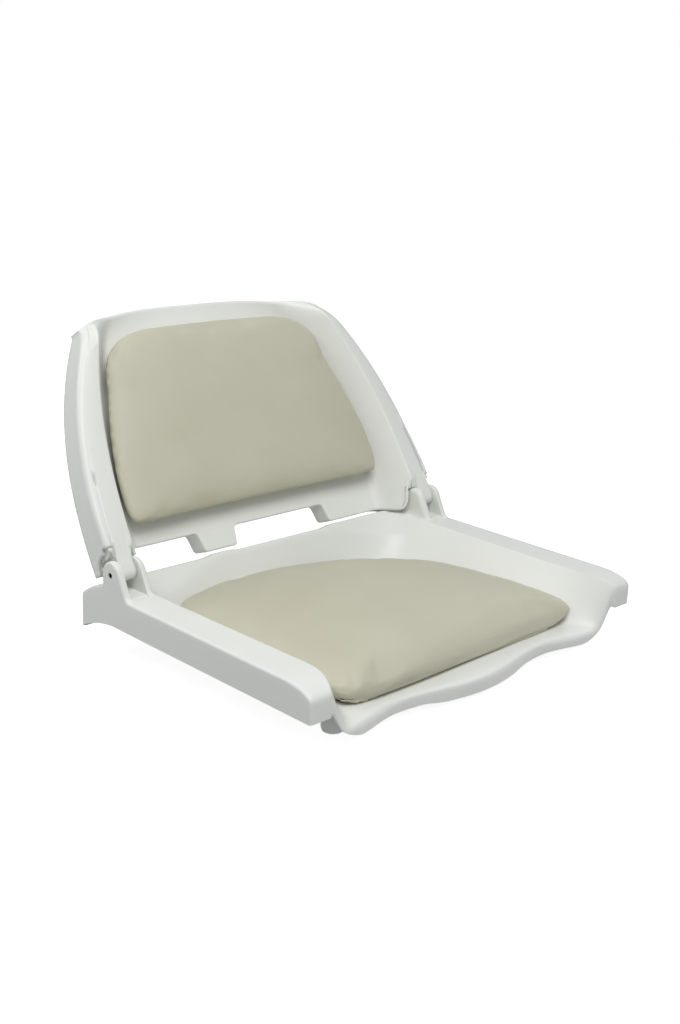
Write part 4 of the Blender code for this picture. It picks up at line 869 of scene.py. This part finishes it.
def back_side_columns(side):
    """Columns of the wall, edge, rim face and slope on one side, from the wall inwards.

    Each column is a place across, which follows the height, and how far it is into the wall or
    round the edge. Returns arrays of points, rows by columns, with the lower return first.
    """
    near = side < 0
    kinds = [("wall", share) for share in WALL_SHARES]
    kinds += [("edge", turn) for turn in EDGE_TURNS]
    kinds += [("face", share) for share in FACE_SHARES]
    kinds += [("slope", share) for share in SLOPE_SHARES]
    levels = back_rows()
    turns = QUARTER_TURN
    columns = []
    for kind, value in kinds:
        def place(up):
            outer, inner = rim_outer(up), rim_inner(up)
            if kind == "wall":
                return outer
            if kind == "edge":
                return outer - RIM_EDGE_RADIUS * (1 - math.cos(value))
            if kind == "face":
                return outer - RIM_EDGE_RADIUS + (inner - outer + RIM_EDGE_RADIUS) * value
            return inner - DISH_SLOPE_WIDTH * value

        beside = kind == "face" and value <= TONGUE_START_SHARE
        tongue = kind == "face" and TONGUE_START_SHARE < value < TONGUE_END_SHARE
        returns = kind in ("face", "slope") and not beside
        over = returns and value > 0 and place(BACK_BOTTOM) > RELIEF_INNER and not tongue
        if kind == "wall":
            depth = RIM_EDGE_RADIUS + value * (RIM_DEPTH - RIM_EDGE_RADIUS)
            bottom = RELIEF_STEP if depth < RIM_OFFSET else float(relief_bottom(RELIEF_RADIUS_OUTER, depth))
        elif kind == "edge" or beside:
            bottom = RELIEF_STEP
        elif tongue:
            bottom = TONGUE_UNDERCUT
        elif over:
            bottom = float(relief_bottom(RELIEF_RADIUS_INNER, face_depth(place(BACK_BOTTOM), BACK_BOTTOM)))
        else:
            bottom = NOTCH_TOP if near else far_slope_bottom(place(BACK_BOTTOM))
        start = bottom + (FLANGE_ROUND if returns and not tongue else 0.0)
        up = start + levels * (arch_top(ARCH_HALF_WIDTH) - TOP_ROUND - start)
        for _ in range(8):
            x = place(up)
            up = start + levels * (arch_top(x) - TOP_ROUND - start)
        depth = face_depth(x, up) + rim_fall(x, up)
        roll = TOP_ROUND * (1 - np.cos(turns))
        up_roll = up[-1] + TOP_ROUND * np.sin(turns)
        depth_roll = depth[-1] + roll
        x_all = np.concatenate([x, np.full(len(turns), x[-1])])
        up_all = np.concatenate([up, up_roll])
        depth_all = np.concatenate([depth, depth_roll])
        if kind == "wall":
            first = depth_all + RIM_EDGE_RADIUS
            depth_all = first + value * (RIM_DEPTH - first)
        if kind == "edge":
            depth_all = depth_all + RIM_EDGE_RADIUS * (1 - math.sin(value))
        last = depth_all[-1]
        if kind == "wall":
            corner = depth[-1] + TOP_ROUND + RIM_EDGE_RADIUS
            flange = np.array([max(last, corner + share * (RIM_DEPTH - corner)) for share in WALL_SHARES[::-1]])
        else:
            rear = flange_rear(x[-1])
            flange = last + np.array(WALL_SHARES[::-1]) * (rear - last)
        x_top = np.full(len(flange), x[-1])
        up_top = np.full(len(flange), up_roll[-1])
        if tongue:
            swing = np.linspace(0.0, math.pi, RETURN_ROWS - 2)
            low_up = np.concatenate([-RIM_OFFSET * np.sin(swing), [TONGUE_UNDERCUT / 2, TONGUE_UNDERCUT]])[::-1]
            low_depth = np.concatenate([RIM_OFFSET * (1 - np.cos(swing)), [2 * RIM_OFFSET] * 2])[::-1]
        elif over:
            low_up = np.linspace(up[0], RELIEF_BEVEL_UP, RETURN_ROWS - 2)[1:]
            low_up = np.concatenate([low_up, [RELIEF_BEVEL_UP] * 3])[::-1]
            low_depth = np.linspace(depth[0], RELIEF_BEVEL_DEPTH, RETURN_ROWS - 2)[1:]
            rest = np.linspace(RELIEF_BEVEL_DEPTH, RELIEF_REAR_DEPTH, 4)[1:]
            low_depth = np.concatenate([low_depth, rest])[::-1]
        elif returns:
            turn = QUARTER_TURN
            roll_up = start - FLANGE_ROUND * np.sin(turn)
            roll_depth = depth[0] + FLANGE_ROUND * (1 - np.cos(turn))
            rear = flange_tip(x[0])
            run = np.linspace(0.0, 1.0, RETURN_ROWS - len(turn) + 1)[1:]
            length = max(rear - roll_depth[-1], 0.0005)
            low_up = np.concatenate([roll_up, roll_up[-1] + FLANGE_RISE_SHARE * length * run])[::-1]
            low_depth = np.concatenate([roll_depth, roll_depth[-1] + length * run])[::-1]
        else:
            low_up = np.full(RETURN_ROWS, up[0])
            low_depth = np.full(RETURN_ROWS, depth_all[0])
        x_low = np.full(RETURN_ROWS, x[0])
        points = np.stack([
            side * np.concatenate([x_low, x_all, x_top]),
            np.concatenate([low_depth, depth_all, flange]) - RIM_OFFSET,
            np.concatenate([low_up, up_all, up_top]),
        ], axis=-1)
        columns.append(points)
    block = np.array(columns).transpose(1, 0, 2)
    return block if side < 0 else block[:, ::-1]


def flange_rear(x):
    """Rear edge of the top flange: a parabola between the wall's depth and the middle's."""
    middle = 1 - (np.abs(x) / ARCH_HALF_WIDTH) ** 2
    return RIM_DEPTH + (DISH_DEPTH + TOP_FLANGE_DEPTH - RIM_DEPTH) * np.clip(middle, 0.0, 1.0)


def flange_tip(x):
    """Rear edge of the lower flange: full depth along the panel, shorter beside the tongues."""
    share = np.clip((TONGUE_INNER - np.abs(x)) / DISH_SLOPE_WIDTH, 0.0, 1.0)
    return FLANGE_SIDE_DEPTH + (DISH_DEPTH + FLANGE_LENGTH - FLANGE_SIDE_DEPTH) * share


def panel_columns():
    """Columns over the flat panel from its lower edge's own points, with flange and top roll."""
    path, out = panel_edge()
    start = path - out * FLANGE_ROUND
    half = rim_inner(BACK_BOTTOM) - DISH_SLOPE_WIDTH
    share = path[:, 0] / half
    levels = back_rows()[:, None]
    x = start[:, 0] + 0 * levels
    for _ in range(8):
        up = start[:, 1] + levels * (arch_top(x) - TOP_ROUND - start[:, 1])
        wide = share * (rim_inner(up) - DISH_SLOPE_WIDTH)
        lowest = np.clip(1 - (up - start[:, 1]) / NOTCH_FADE_HEIGHT, 0.0, 1.0)
        x = wide + (start[:, 0] - share * half) * lowest
    depth = face_depth(x, up)
    turns = QUARTER_TURN[:, None]
    roll_up = up[-1] + TOP_ROUND * np.sin(turns)
    roll_depth = depth[-1] + TOP_ROUND * (1 - np.cos(turns))
    roll_x = x[-1] + 0 * turns
    shares = np.array(WALL_SHARES[::-1])[:, None]
    top_depth = roll_depth[-1] + shares * (flange_rear(x[-1]) - roll_depth[-1])
    low_turn = QUARTER_TURN[:, None]
    low_x = start[:, 0] + out[:, 0] * FLANGE_ROUND * np.sin(low_turn)
    low_up = start[:, 1] + out[:, 1] * FLANGE_ROUND * np.sin(low_turn)
    low_depth = depth[0] + FLANGE_ROUND * (1 - np.cos(low_turn))
    run = np.linspace(0.0, 1.0, RETURN_ROWS - len(low_turn) + 1)[1:, None]
    length = DISH_DEPTH + FLANGE_LENGTH - low_depth[-1]
    back_x = low_x[-1] + 0 * run
    back_up = low_up[-1] + FLANGE_RISE_SHARE * length * run
    back_depth = low_depth[-1] + length * run
    all_x = np.concatenate([back_x[::-1], low_x[::-1], x, roll_x, roll_x[-1] + 0 * shares])
    all_up = np.concatenate([back_up[::-1], low_up[::-1], up, roll_up, roll_up[-1] + 0 * shares])
    all_depth = np.concatenate([back_depth[::-1], low_depth[::-1], depth, roll_depth, top_depth])
    return np.stack([all_x, all_depth - RIM_OFFSET, all_up], axis=-1)


def reclined():
    """From the upright back about its hinge to its place in the seat."""
    return Matrix.Translation(HINGE) @ Matrix.Rotation(-RECLINE, 4, "X")


def make_back_moulding():
    left, panel, right = back_side_columns(-1), panel_columns(), back_side_columns(1)
    whole = np.concatenate([left, panel, right], axis=1)
    piece = grid_object("back_moulding", whole)
    thicken(piece, WALL)
    apply_modifiers(piece, reclined())
    return piece


back_moulding = make_back_moulding()
back_moulding.data.materials.append(polypropylene)
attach(back_moulding, "back")
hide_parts("back_shell")

# Hinge webs: moulded with the back, a plate behind each tongue and a curved step over it close
# the recess that clears the base's outer ear.

WEB_THICKNESS = 0.0034
WEB_GAP = 0.0001
WEB_CREASE = math.radians(35.0)
WEB_OUTLINE = (
    (0.0120, -0.0060), (0.0165, -0.0022), (0.0205, -0.0002), (0.0260, 0.0004), (0.0330, 0.0008),
    (0.0345, 0.0024), (0.0345, 0.0300), (0.0120, 0.0300),
)
STEP_THICKNESS = 0.0024
STEP_RADIUS = 0.0168
STEP_FRONT = 0.0018
STEP_TOP = 0.0345
STEP_OUTER = HALF_WIDTH - 0.0036
STEP_INNER = TONGUE_OUTER - 0.0030
STEP_WIDENING = (0.012, 0.022)
STEP_FALL = (0.010, 0.016, 0.008)
STEP_REAR_GAP = 0.0006


def plate_grid(outline, low, high):
    """A closed outline of (depth, height) carried across, with both faces closed to a point."""
    outline = np.array(outline)
    ring = np.vstack([outline, outline[:1]]) - np.array([RIM_OFFSET, 0.0])
    middle = ring[:-1].mean(axis=0) + 0 * ring
    rows = [(low, middle), (low, ring), (high, ring), (high, middle)]
    return np.array([np.column_stack([np.full(len(ring), x), points]) for x, points in rows])


def step_outline():
    """A block in front and an arc about the hinge behind it, as one closed outline."""
    depth = np.linspace(STEP_FRONT, RIM_DEPTH - STEP_REAR_GAP, 40)
    radius = np.interp(depth, STEP_WIDENING, (STEP_RADIUS, RELIEF_RADIUS_OUTER))
    inner = np.where(depth < RIM_OFFSET, STEP_RADIUS + RIM_OFFSET - depth, relief_bottom(radius, depth))
    inner = soften(inner, 6)
    fall_start, fall_end, fall = STEP_FALL
    top = np.interp(depth, (fall_start, fall_end), (STEP_TOP, STEP_TOP - fall))
    outer = np.maximum(inner + STEP_THICKNESS, top)
    return np.concatenate([np.column_stack([depth, inner]), np.column_stack([depth, outer])[::-1]])


def strip_grid(outline, low, high):
    """A band between two matching lines, one row for each of its points, closed across."""
    half = len(outline) // 2
    under, over = outline[:half], outline[half:][::-1]
    rows = [under, under, over, over, under]
    places = [low, high, high, low, low]
    ring = [np.column_stack([np.full(half, x), points - [RIM_OFFSET, 0.0]]) for x, points in zip(places, rows)]
    grid = np.array(ring).transpose(1, 0, 2)
    first, last = grid[:1].mean(axis=1, keepdims=True), grid[-1:].mean(axis=1, keepdims=True)
    return np.concatenate([first + 0 * grid[:1], grid, last + 0 * grid[-1:]])


def make_hinge_webs():
    pieces = []
    for side in (-1, 1):
        mirror = np.array([side, 1.0, 1.0])
        web = plate_grid(WEB_OUTLINE, TONGUE_OUTER - WEB_THICKNESS, TONGUE_OUTER - WEB_GAP)
        step = strip_grid(step_outline(), STEP_INNER, STEP_OUTER)
        pieces += [grid_object("web", web * mirror), grid_object("step", step * mirror)]
    return join_pieces("hinge_webs", pieces, WEB_CREASE, reclined())


hinge_webs = make_hinge_webs()
hinge_webs.data.materials.append(polypropylene)
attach(hinge_webs, "back")

# Cushions: marine vinyl stretched over a foam pad and stapled under a plywood board. The seat's
# fills the pan and stands 40 mm high with a soft roll at the front, the back's lies in the dish.

# The seat cushion as seen from above: (across, setback), from the middle of its front edge round.
SEAT_OUTLINE = (
    (0.000, 0.0250), (0.070, 0.0285), (0.120, 0.0300), (0.152, 0.0290), (0.1755, 0.0285),
    (0.1842, 0.0400), (0.1830, 0.0700), (0.1812, 0.1100), (0.1780, 0.1450), (0.1710, 0.1790),
    (0.161, 0.2090), (0.142, 0.2370), (0.117, 0.2590), (0.084, 0.2800), (0.044, 0.2970),
    (0.000, 0.3090), (-0.050, 0.3135), (-0.095, 0.3112), (-0.133, 0.3020), (-0.159, 0.2900),
    (-0.171, 0.2650), (-0.175, 0.2300), (-0.180, 0.1900), (-0.182, 0.1400), (-0.181, 0.0950),
    (-0.177, 0.0600), (-0.169, 0.0370), (-0.150, 0.0260), (-0.110, 0.0225), (-0.060, 0.0225),
)
SEAT_FLOOR_WIDTH = 0.3160
SEAT_FLOOR_FRONT = 0.0290
SEAT_FLOOR_REAR = 0.2760
SEAT_FLOOR_SHARES = (
    (0.00, 0.000), (0.45, 0.000), (0.84, 0.002), (0.950, 0.022), (0.985, 0.062), (0.998, 0.180),
    (1.000, 0.350), (0.940, 0.620), (0.820, 0.810), (0.520, 0.955), (0.00, 1.000),
)
SEAT_EDGE_HEIGHT = 0.0190
SEAT_EDGE_FALL = 0.0120
SEAT_EDGE_FALL_LENGTH = 0.100
SEAT_CROWN_HEIGHT = 0.0395
BACK_WIDEST = 0.3710
BACK_LOW = 0.0452
BACK_HIGH = 0.2655
BACK_TILT = 0.036
BACK_FLOOR_WIDTH = 0.3160
BACK_FLOOR_LOW = 0.0600
BACK_FLOOR_HIGH = 0.2560
BACK_EDGE_HEIGHT = 0.0190
BACK_CROWN_HEIGHT = 0.0330
BACK_OUTLINE_SHARES = (
    (0.00, 0.000), (0.45, 0.000), (0.89, 0.002), (0.992, 0.040), (0.999, 0.250), (0.957, 0.470),
    (0.890, 0.680), (0.810, 0.868), (0.565, 0.980), (0.00, 1.000),
)
AROUND = 144
CROWN_POWER = 2.6
UNDERSIDE_RISE = 0.0014
PAD_SHRINK = 0.0005
PAD_VOXEL = 0.0042
PAD_PRESSURE = 4.0
PAD_FRAMES = 20
PAD_CAP = 0.0035
HEM_HEIGHT = 0.0060
HEM_LOW = 0.0045
HEM_RISE_LENGTH = 0.0300
HEM_THICKNESS = 0.0012
HEM_STAND = 0.0003
HEM_SET_BACK = 0.0045
HEM_AROUND = 760
HEM_WAVE = 0.0005
HEM_WAVE_LENGTH = 0.0100
HEM_WAVE_REACH = 0.0350
HEM_LEAN = 5.0
HEM_FOOT = 0.0005
HELD_HEIGHT = 0.0008
CUSHION_GAP = 0.0003
SEAT_GATHERS = (
    (-0.0195, 0.0024, 0.0036), (-0.0098, 0.0030, 0.0042), (0.0, 0.0035, 0.0054),
    (0.0105, 0.0030, 0.0030), (0.0210, 0.0024, 0.0014),
)


def mirrored(shares, width, start, end):
    """Points of a closed outline from the shares of its right half."""
    half = [(x * width / 2, start + along * (end - start)) for x, along in shares]
    return np.array(half + [(-x, along) for x, along in half[-2:0:-1]])


def tilted(points):
    """An outline whose upper end leans to the right by a share of its height."""
    middle = (BACK_LOW + BACK_HIGH) / 2
    return points + np.column_stack([BACK_TILT * (points[:, 1] - middle), 0 * points[:, 1]])


def smooth_outline(points, count=AROUND):
    """A closed curve through points: cubic pieces with slopes from each point's neighbours, read
    at equal distances."""
    points = np.array(points)
    before, after, beyond = np.roll(points, 1, 0), np.roll(points, -1, 0), np.roll(points, -2, 0)
    t = np.linspace(0.0, 1.0, 24, endpoint=False)[:, None, None]
    curve = 0.5 * (2 * points + (after - before) * t + (2 * before - 5 * points + 4 * after - beyond) * t ** 2
                   + (3 * points - before - 3 * after + beyond) * t ** 3)
    curve = curve.transpose(1, 0, 2).reshape(-1, 2)
    closed = np.vstack([curve, curve[:1]])
    length = np.concatenate([[0.0], np.cumsum(np.linalg.norm(np.diff(closed, axis=0), axis=1))])
    even = np.linspace(0.0, length[-1], count, endpoint=False)
    return np.stack([np.interp(even, length, closed[:, n]) for n in range(2)], axis=-1)


def side_ring(floor, full, share):
    """The drawn-in side at a share of its height: an eased curve between the two outlines."""
    return floor + (full - floor) * np.sin(share * math.pi / 2) ** 0.9


def cushion_grid(floor, full, edge, crown):
    """Rings over the underside, up the drawn-in side, over the rolled edge and across the crown.

    The crown's height is a power of the distance from the middle under a square root, so that
    its edge stands upright.
    """
    middle, centre = full.mean(axis=0), floor.mean(axis=0)
    rings = [(centre + (floor - centre) * share, UNDERSIDE_RISE) for share in (0.0, 0.35, 0.7, 0.9)]
    for share in np.linspace(0.0, 1.0, 12):
        rings.append((side_ring(floor, full, share), UNDERSIDE_RISE + (edge - UNDERSIDE_RISE) * share))
    for turn in np.linspace(0.0, math.pi / 2, 34)[1:]:
        share = math.cos(turn)
        height = edge + (crown - edge) * (1 - share ** CROWN_POWER) ** 0.5
        rings.append((middle + (full - middle) * share, height))
    grid = np.array([np.column_stack([ring, height + 0 * ring[:, 0]]) for ring, height in rings])
    return np.concatenate([grid, grid[:, :1]], axis=1)


def hem_grid(outline, full, edge, gathers):
    """The cover's hem round the board: a band that carries the cushion's side on down, with small
    arches in its lower edge where the vinyl is gathered. Gathers are (distance from the corner's
    middle, half width, height)."""
    step = np.linalg.norm(np.roll(outline, -1, 0) - outline, axis=1).mean()
    left = outline[:, 0] < 0
    corner = np.argmin(np.where(left, outline[:, 0] + outline[:, 1], np.inf))
    away = np.arange(len(outline)) - corner
    away = (away + len(outline) // 2) % len(outline) - len(outline) // 2
    away = away * step * np.sign(outline[corner, 0] - outline[(corner + 5) % len(outline), 0]) * -1
    lift = 0.0 * away
    for place, half_width, height in gathers:
        near = np.clip(1 - ((away - place) / half_width) ** 2, 0.0, None)
        lift = np.maximum(lift, height * np.sqrt(near))
    along = np.roll(outline, -1, 0) - np.roll(outline, 1, 0)
    along /= np.linalg.norm(along, axis=1, keepdims=True)
    out = np.column_stack([along[:, 1], -along[:, 0]])
    out = out * np.sign((out * (outline - outline.mean(axis=0))).sum(axis=1).mean())
    wave = HEM_WAVE * np.cos(2 * math.pi * away / HEM_WAVE_LENGTH) * (np.abs(away) < HEM_WAVE_REACH)
    raised = np.exp(-(away / HEM_RISE_LENGTH) ** 2)
    top = HEM_LOW + (HEM_HEIGHT - HEM_LOW) * raised
    rows = []
    for share in np.linspace(0.0, 1.0, 7):
        height = HEM_FOOT + lift * (1 - share) + (top - HEM_FOOT) * share
        run = np.clip((height - UNDERSIDE_RISE) / (edge - UNDERSIDE_RISE), 0.0, 1.0)[:, None]
        shift = (1 - share) * wave - HEM_STAND * (1 + HEM_LEAN * share ** 2) - HEM_SET_BACK * (1 - raised)
        rows.append(np.column_stack([side_ring(outline, full, run) + out * shift[:, None], height]))
    grid = np.array(rows)
    return np.concatenate([grid, grid[:, :1]], axis=1)


def soft_vinyl():
    """Marine vinyl: PVC on a knit backing, embossed with a fine grain about 1 mm across, satin
    and slightly mottled."""
    material, tree, shader, on_piece = start_material("marine_vinyl")
    clouds = add_node(tree, "ShaderNodeTexNoise", in_Scale=9.0, in_Detail=3.0, links=on_piece)
    mottle(tree, clouds, ("C0BDA8", "C7C5B1"), (0.3, 0.7))
    grain = add_node(tree, "ShaderNodeTexVoronoi", feature="DISTANCE_TO_EDGE", in_Scale=900.0,
                     links=on_piece)
    valleys = add_node(tree, "ShaderNodeMapRange", in_From_Max=0.25,
                       links=(("Value", grain.outputs["Distance"]),))
    creases = add_node(tree, "ShaderNodeTexNoise", in_Scale=75.0, in_Detail=4.0, in_Distortion=0.6,
                       links=on_piece)
    fine = add_node(tree, "ShaderNodeBump", in_Strength=0.22, in_Distance=0.0003,
                    links=(("Height", valleys.outputs[0]),))
    slow = add_node(tree, "ShaderNodeBump", in_Strength=0.18, in_Distance=0.001,
                    links=(("Height", creases.outputs[0]), ("Normal", fine.outputs[0])))
    tree.links.new(slow.outputs[0], shader.inputs["Normal"])
    gloss = add_node(tree, "ShaderNodeMapRange", in_To_Min=0.48, in_To_Max=0.60,
                     links=(("Value", creases.outputs[0]),))
    tree.links.new(gloss.outputs[0], shader.inputs["Roughness"])
    shader.inputs["IOR"].default_value = 1.50
    shader.inputs["Sheen Weight"].default_value = 0.08
    return material


vinyl = soft_vinyl()


def swell(piece):
    """Blow the pad up against its own cover: cloth under pressure, held underneath, with the
    move of each point capped by a hyperbolic tangent."""
    scene = bpy.context.scene
    count = len(piece.data.vertices)
    before = np.empty(count * 3)
    piece.data.vertices.foreach_get("co", before)
    before = before.reshape(-1, 3)
    held = piece.vertex_groups.new(name="held")
    held.add(np.flatnonzero(before[:, 2] < UNDERSIDE_RISE + HELD_HEIGHT).tolist(), 1.0, "REPLACE")
    cloth = piece.modifiers.new("cloth", "CLOTH")
    cloth.settings.use_pressure = True
    cloth.settings.uniform_pressure_force = PAD_PRESSURE
    cloth.settings.effector_weights.gravity = 0.0
    cloth.settings.vertex_group_mass = held.name
    cloth.point_cache.frame_end = PAD_FRAMES
    for step in range(1, PAD_FRAMES + 1):
        scene.frame_set(step)
    after = np.empty(count * 3)
    piece.evaluated_get(bpy.context.evaluated_depsgraph_get()).data.vertices.foreach_get("co", after)
    piece.modifiers.clear()
    piece.vertex_groups.clear()
    scene.frame_set(1)
    move = after.reshape(-1, 3) - before
    length = np.linalg.norm(move, axis=1, keepdims=True) + 1e-9
    capped = move * PAD_CAP * np.tanh(length / PAD_CAP) / length
    piece.data.vertices.foreach_set("co", (before + capped).ravel())


def inset(outline, amount):
    """An outline drawn in by an amount on every side."""
    middle = (outline.max(axis=0) + outline.min(axis=0)) / 2
    half = (outline.max(axis=0) - outline.min(axis=0)) / 2
    return middle + (outline - middle) * (half - amount) / half


def edge_heights(outline, edge, fall):
    """Height of the cushion's edge, lower towards its front by a square of the distance."""
    return edge - fall * np.clip(1 - outline[:, 1] / SEAT_EDGE_FALL_LENGTH, 0.0, 1.0) ** 2


def make_cushion(name, full_points, floor_points, edge, fall, crown, gathers, place):
    full = inset(smooth_outline(full_points), PAD_SHRINK)
    floor = smooth_outline(floor_points)
    pad = grid_object(name + "_pad", cushion_grid(
        inset(floor, HEM_STAND), full, edge_heights(full, edge, fall), crown - PAD_SHRINK))
    remesh = pad.modifiers.new("even_mesh", "REMESH")
    remesh.mode = "VOXEL"
    remesh.voxel_size = PAD_VOXEL
    apply_modifiers(pad)
    swell(pad)
    fine = pad.modifiers.new("fine_mesh", "SUBSURF")
    fine.levels = fine.render_levels = 1
    apply_modifiers(pad)
    full, floor = smooth_outline(full_points, HEM_AROUND), smooth_outline(floor_points, HEM_AROUND)
    hem = grid_object(name + "_hem", hem_grid(floor, full, edge_heights(full, edge, fall), gathers))
    thicken(hem, HEM_THICKNESS)
    apply_modifiers(hem)
    piece = join_pieces(name, [pad, hem], place=place)
    piece.data.materials.append(vinyl)
    return piece


seat_cushion = make_cushion(
    "seat_cushion", SEAT_OUTLINE,
    mirrored(SEAT_FLOOR_SHARES, SEAT_FLOOR_WIDTH, SEAT_FLOOR_FRONT, SEAT_FLOOR_REAR),
    SEAT_EDGE_HEIGHT, SEAT_EDGE_FALL, SEAT_CROWN_HEIGHT, SEAT_GATHERS,
    Matrix.Translation((0.0, FRONT_Y, UNDERSIDE_Z - PAN_FLOOR_DROP + CUSHION_GAP)))
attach(seat_cushion, "base")
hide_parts("seat_cushion_cover", "seat_cushion_foam")

facing_front = Matrix((
    (1, 0, 0, 0), (0, 0, -1, DISH_DEPTH - RIM_OFFSET - CUSHION_GAP), (0, 1, 0, 0), (0, 0, 0, 1)))
back_cushion = make_cushion(
    "back_cushion", tilted(mirrored(BACK_OUTLINE_SHARES, BACK_WIDEST, BACK_LOW, BACK_HIGH)),
    tilted(mirrored(BACK_OUTLINE_SHARES, BACK_FLOOR_WIDTH, BACK_FLOOR_LOW, BACK_FLOOR_HIGH)),
    BACK_EDGE_HEIGHT, 0.0, BACK_CROWN_HEIGHT, (), reclined() @ facing_front)
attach(back_cushion, "back")
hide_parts("back_cushion_cover", "back_cushion_foam")

# Hinge pins: rolled spring pins of stainless steel, driven through both ears and the tongue and
# sunk into the outer ear. The shallow bore in each pin's end is painted near-black as painted shade, so that a
# dark round hole shows.

PIN_RADIUS = 0.0030
PIN_BORE_RADIUS = 0.0028
PIN_CHAMFER = 0.0004
PIN_SUNK = 0.0007
PIN_END_DEPTH = 0.0060
PIN_BORE_DEPTH = 0.0030
PIN_CREASE = math.radians(35.0)
BORE_SLACK = 0.00001


def turned_metal(name, tone, roughness):
    """Turned metal: fine rings left by the tool, about 0.2 mm apart."""
    material, tree, shader, on_piece = start_material(name)
    rings = add_node(tree, "ShaderNodeTexNoise", in_Scale=2500.0, in_Detail=2.0, links=on_piece)
    gloss = add_node(tree, "ShaderNodeMapRange", in_To_Min=roughness - 0.06, in_To_Max=roughness + 0.06,
                     links=(("Value", rings.outputs[0]),))
    tree.links.new(gloss.outputs[0], shader.inputs["Roughness"])
    shader.inputs["Base Color"].default_value = linear(tone)
    shader.inputs["Metallic"].default_value = 1.0
    return material


def make_hinge_pins():
    bore, soft = PIN_BORE_RADIUS, PIN_CHAMFER
    pieces = []
    for name in ("hinge_pin_left", "hinge_pin_right"):
        low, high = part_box(name)
        outer = HALF_WIDTH - PIN_SUNK
        inner = max(min(abs(low.x), abs(high.x)), EAR_INNER + PIN_END_DEPTH)
        side = -1 if low.x < 0 else 1
        length = outer - inner
        profile = [(0.0, length - PIN_BORE_DEPTH), (bore, length - PIN_BORE_DEPTH), (bore, length - soft / 3),
                   (bore + soft / 3, length), (PIN_RADIUS - soft / 3, length), (PIN_RADIUS, length - soft / 3),
                   (PIN_RADIUS, soft), (PIN_RADIUS - soft, 0.0), (0.0, 0.0)]
        grid = turned_grid(profile, 0.0, 0.0)[..., [2, 0, 1]]
        grid = (grid + np.array([inner, 0.0, 0.0])) * np.array([side, 1.0, 1.0])
        pieces.append(grid_object("pin", grid + np.array([0.0, HINGE.y, HINGE.z])))
    whole = join_pieces("hinge_pins", pieces, PIN_CREASE)
    # Faces inside the bore take the second material, which is painted shade: near-black standing in for the
    # shadow deep in a hole.
    for polygon in whole.data.polygons:
        off_axis = polygon.center - HINGE
        polygon.material_index = int(math.hypot(off_axis.y, off_axis.z) < bore + BORE_SLACK)
    return whole


def birch_plywood():
    """Birch plywood: pale veneer with a long straight grain a few millimetres wide."""
    material, tree, shader, on_piece = start_material("birch_plywood")
    stretch = add_node(tree, "ShaderNodeMapping", in_Scale=(1.0, 12.0, 12.0), links=on_piece)
    grain = add_node(tree, "ShaderNodeTexNoise", in_Scale=25.0, in_Detail=5.0,
                     links=(("Vector", stretch.outputs[0]),))
    mottle(tree, grain, ("B99A6E", "D9C096"))
    shader.inputs["Roughness"].default_value = 0.7
    return material


def dress_nodes(prefix, material):
    """Give a finish to every construction node whose name starts with the prefix."""
    for name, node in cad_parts.items():
        if name.startswith(prefix):
            node.data.materials.clear()
            node.data.materials.append(material)


stainless = turned_metal("turned_stainless_steel", "C6C7C8", 0.30)
hinge_pins = make_hinge_pins()
hinge_pins.data.materials.append(stainless)
# The bore's material is painted shade: near-black, standing in for the shadow inside a deep hole.
hinge_pins.data.materials.append(turned_metal("painted_shade_bore", "070707", 0.70))
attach(hinge_pins, "base")
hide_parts("hinge_pin_left", "hinge_pin_right")

# Fittings: pan-head screws of turned stainless steel, pressed brass inserts, and birch plywood
# boards inside the cushions. They keep their construction shapes.

dress_nodes("seat_cushion_screw", stainless)
dress_nodes("back_cushion_screw", stainless)
dress_nodes("mount_insert", turned_metal("turned_brass", "C9A45C", 0.32))
plywood = birch_plywood()
dress_nodes("seat_cushion_board", plywood)
dress_nodes("back_cushion_board", plywood)
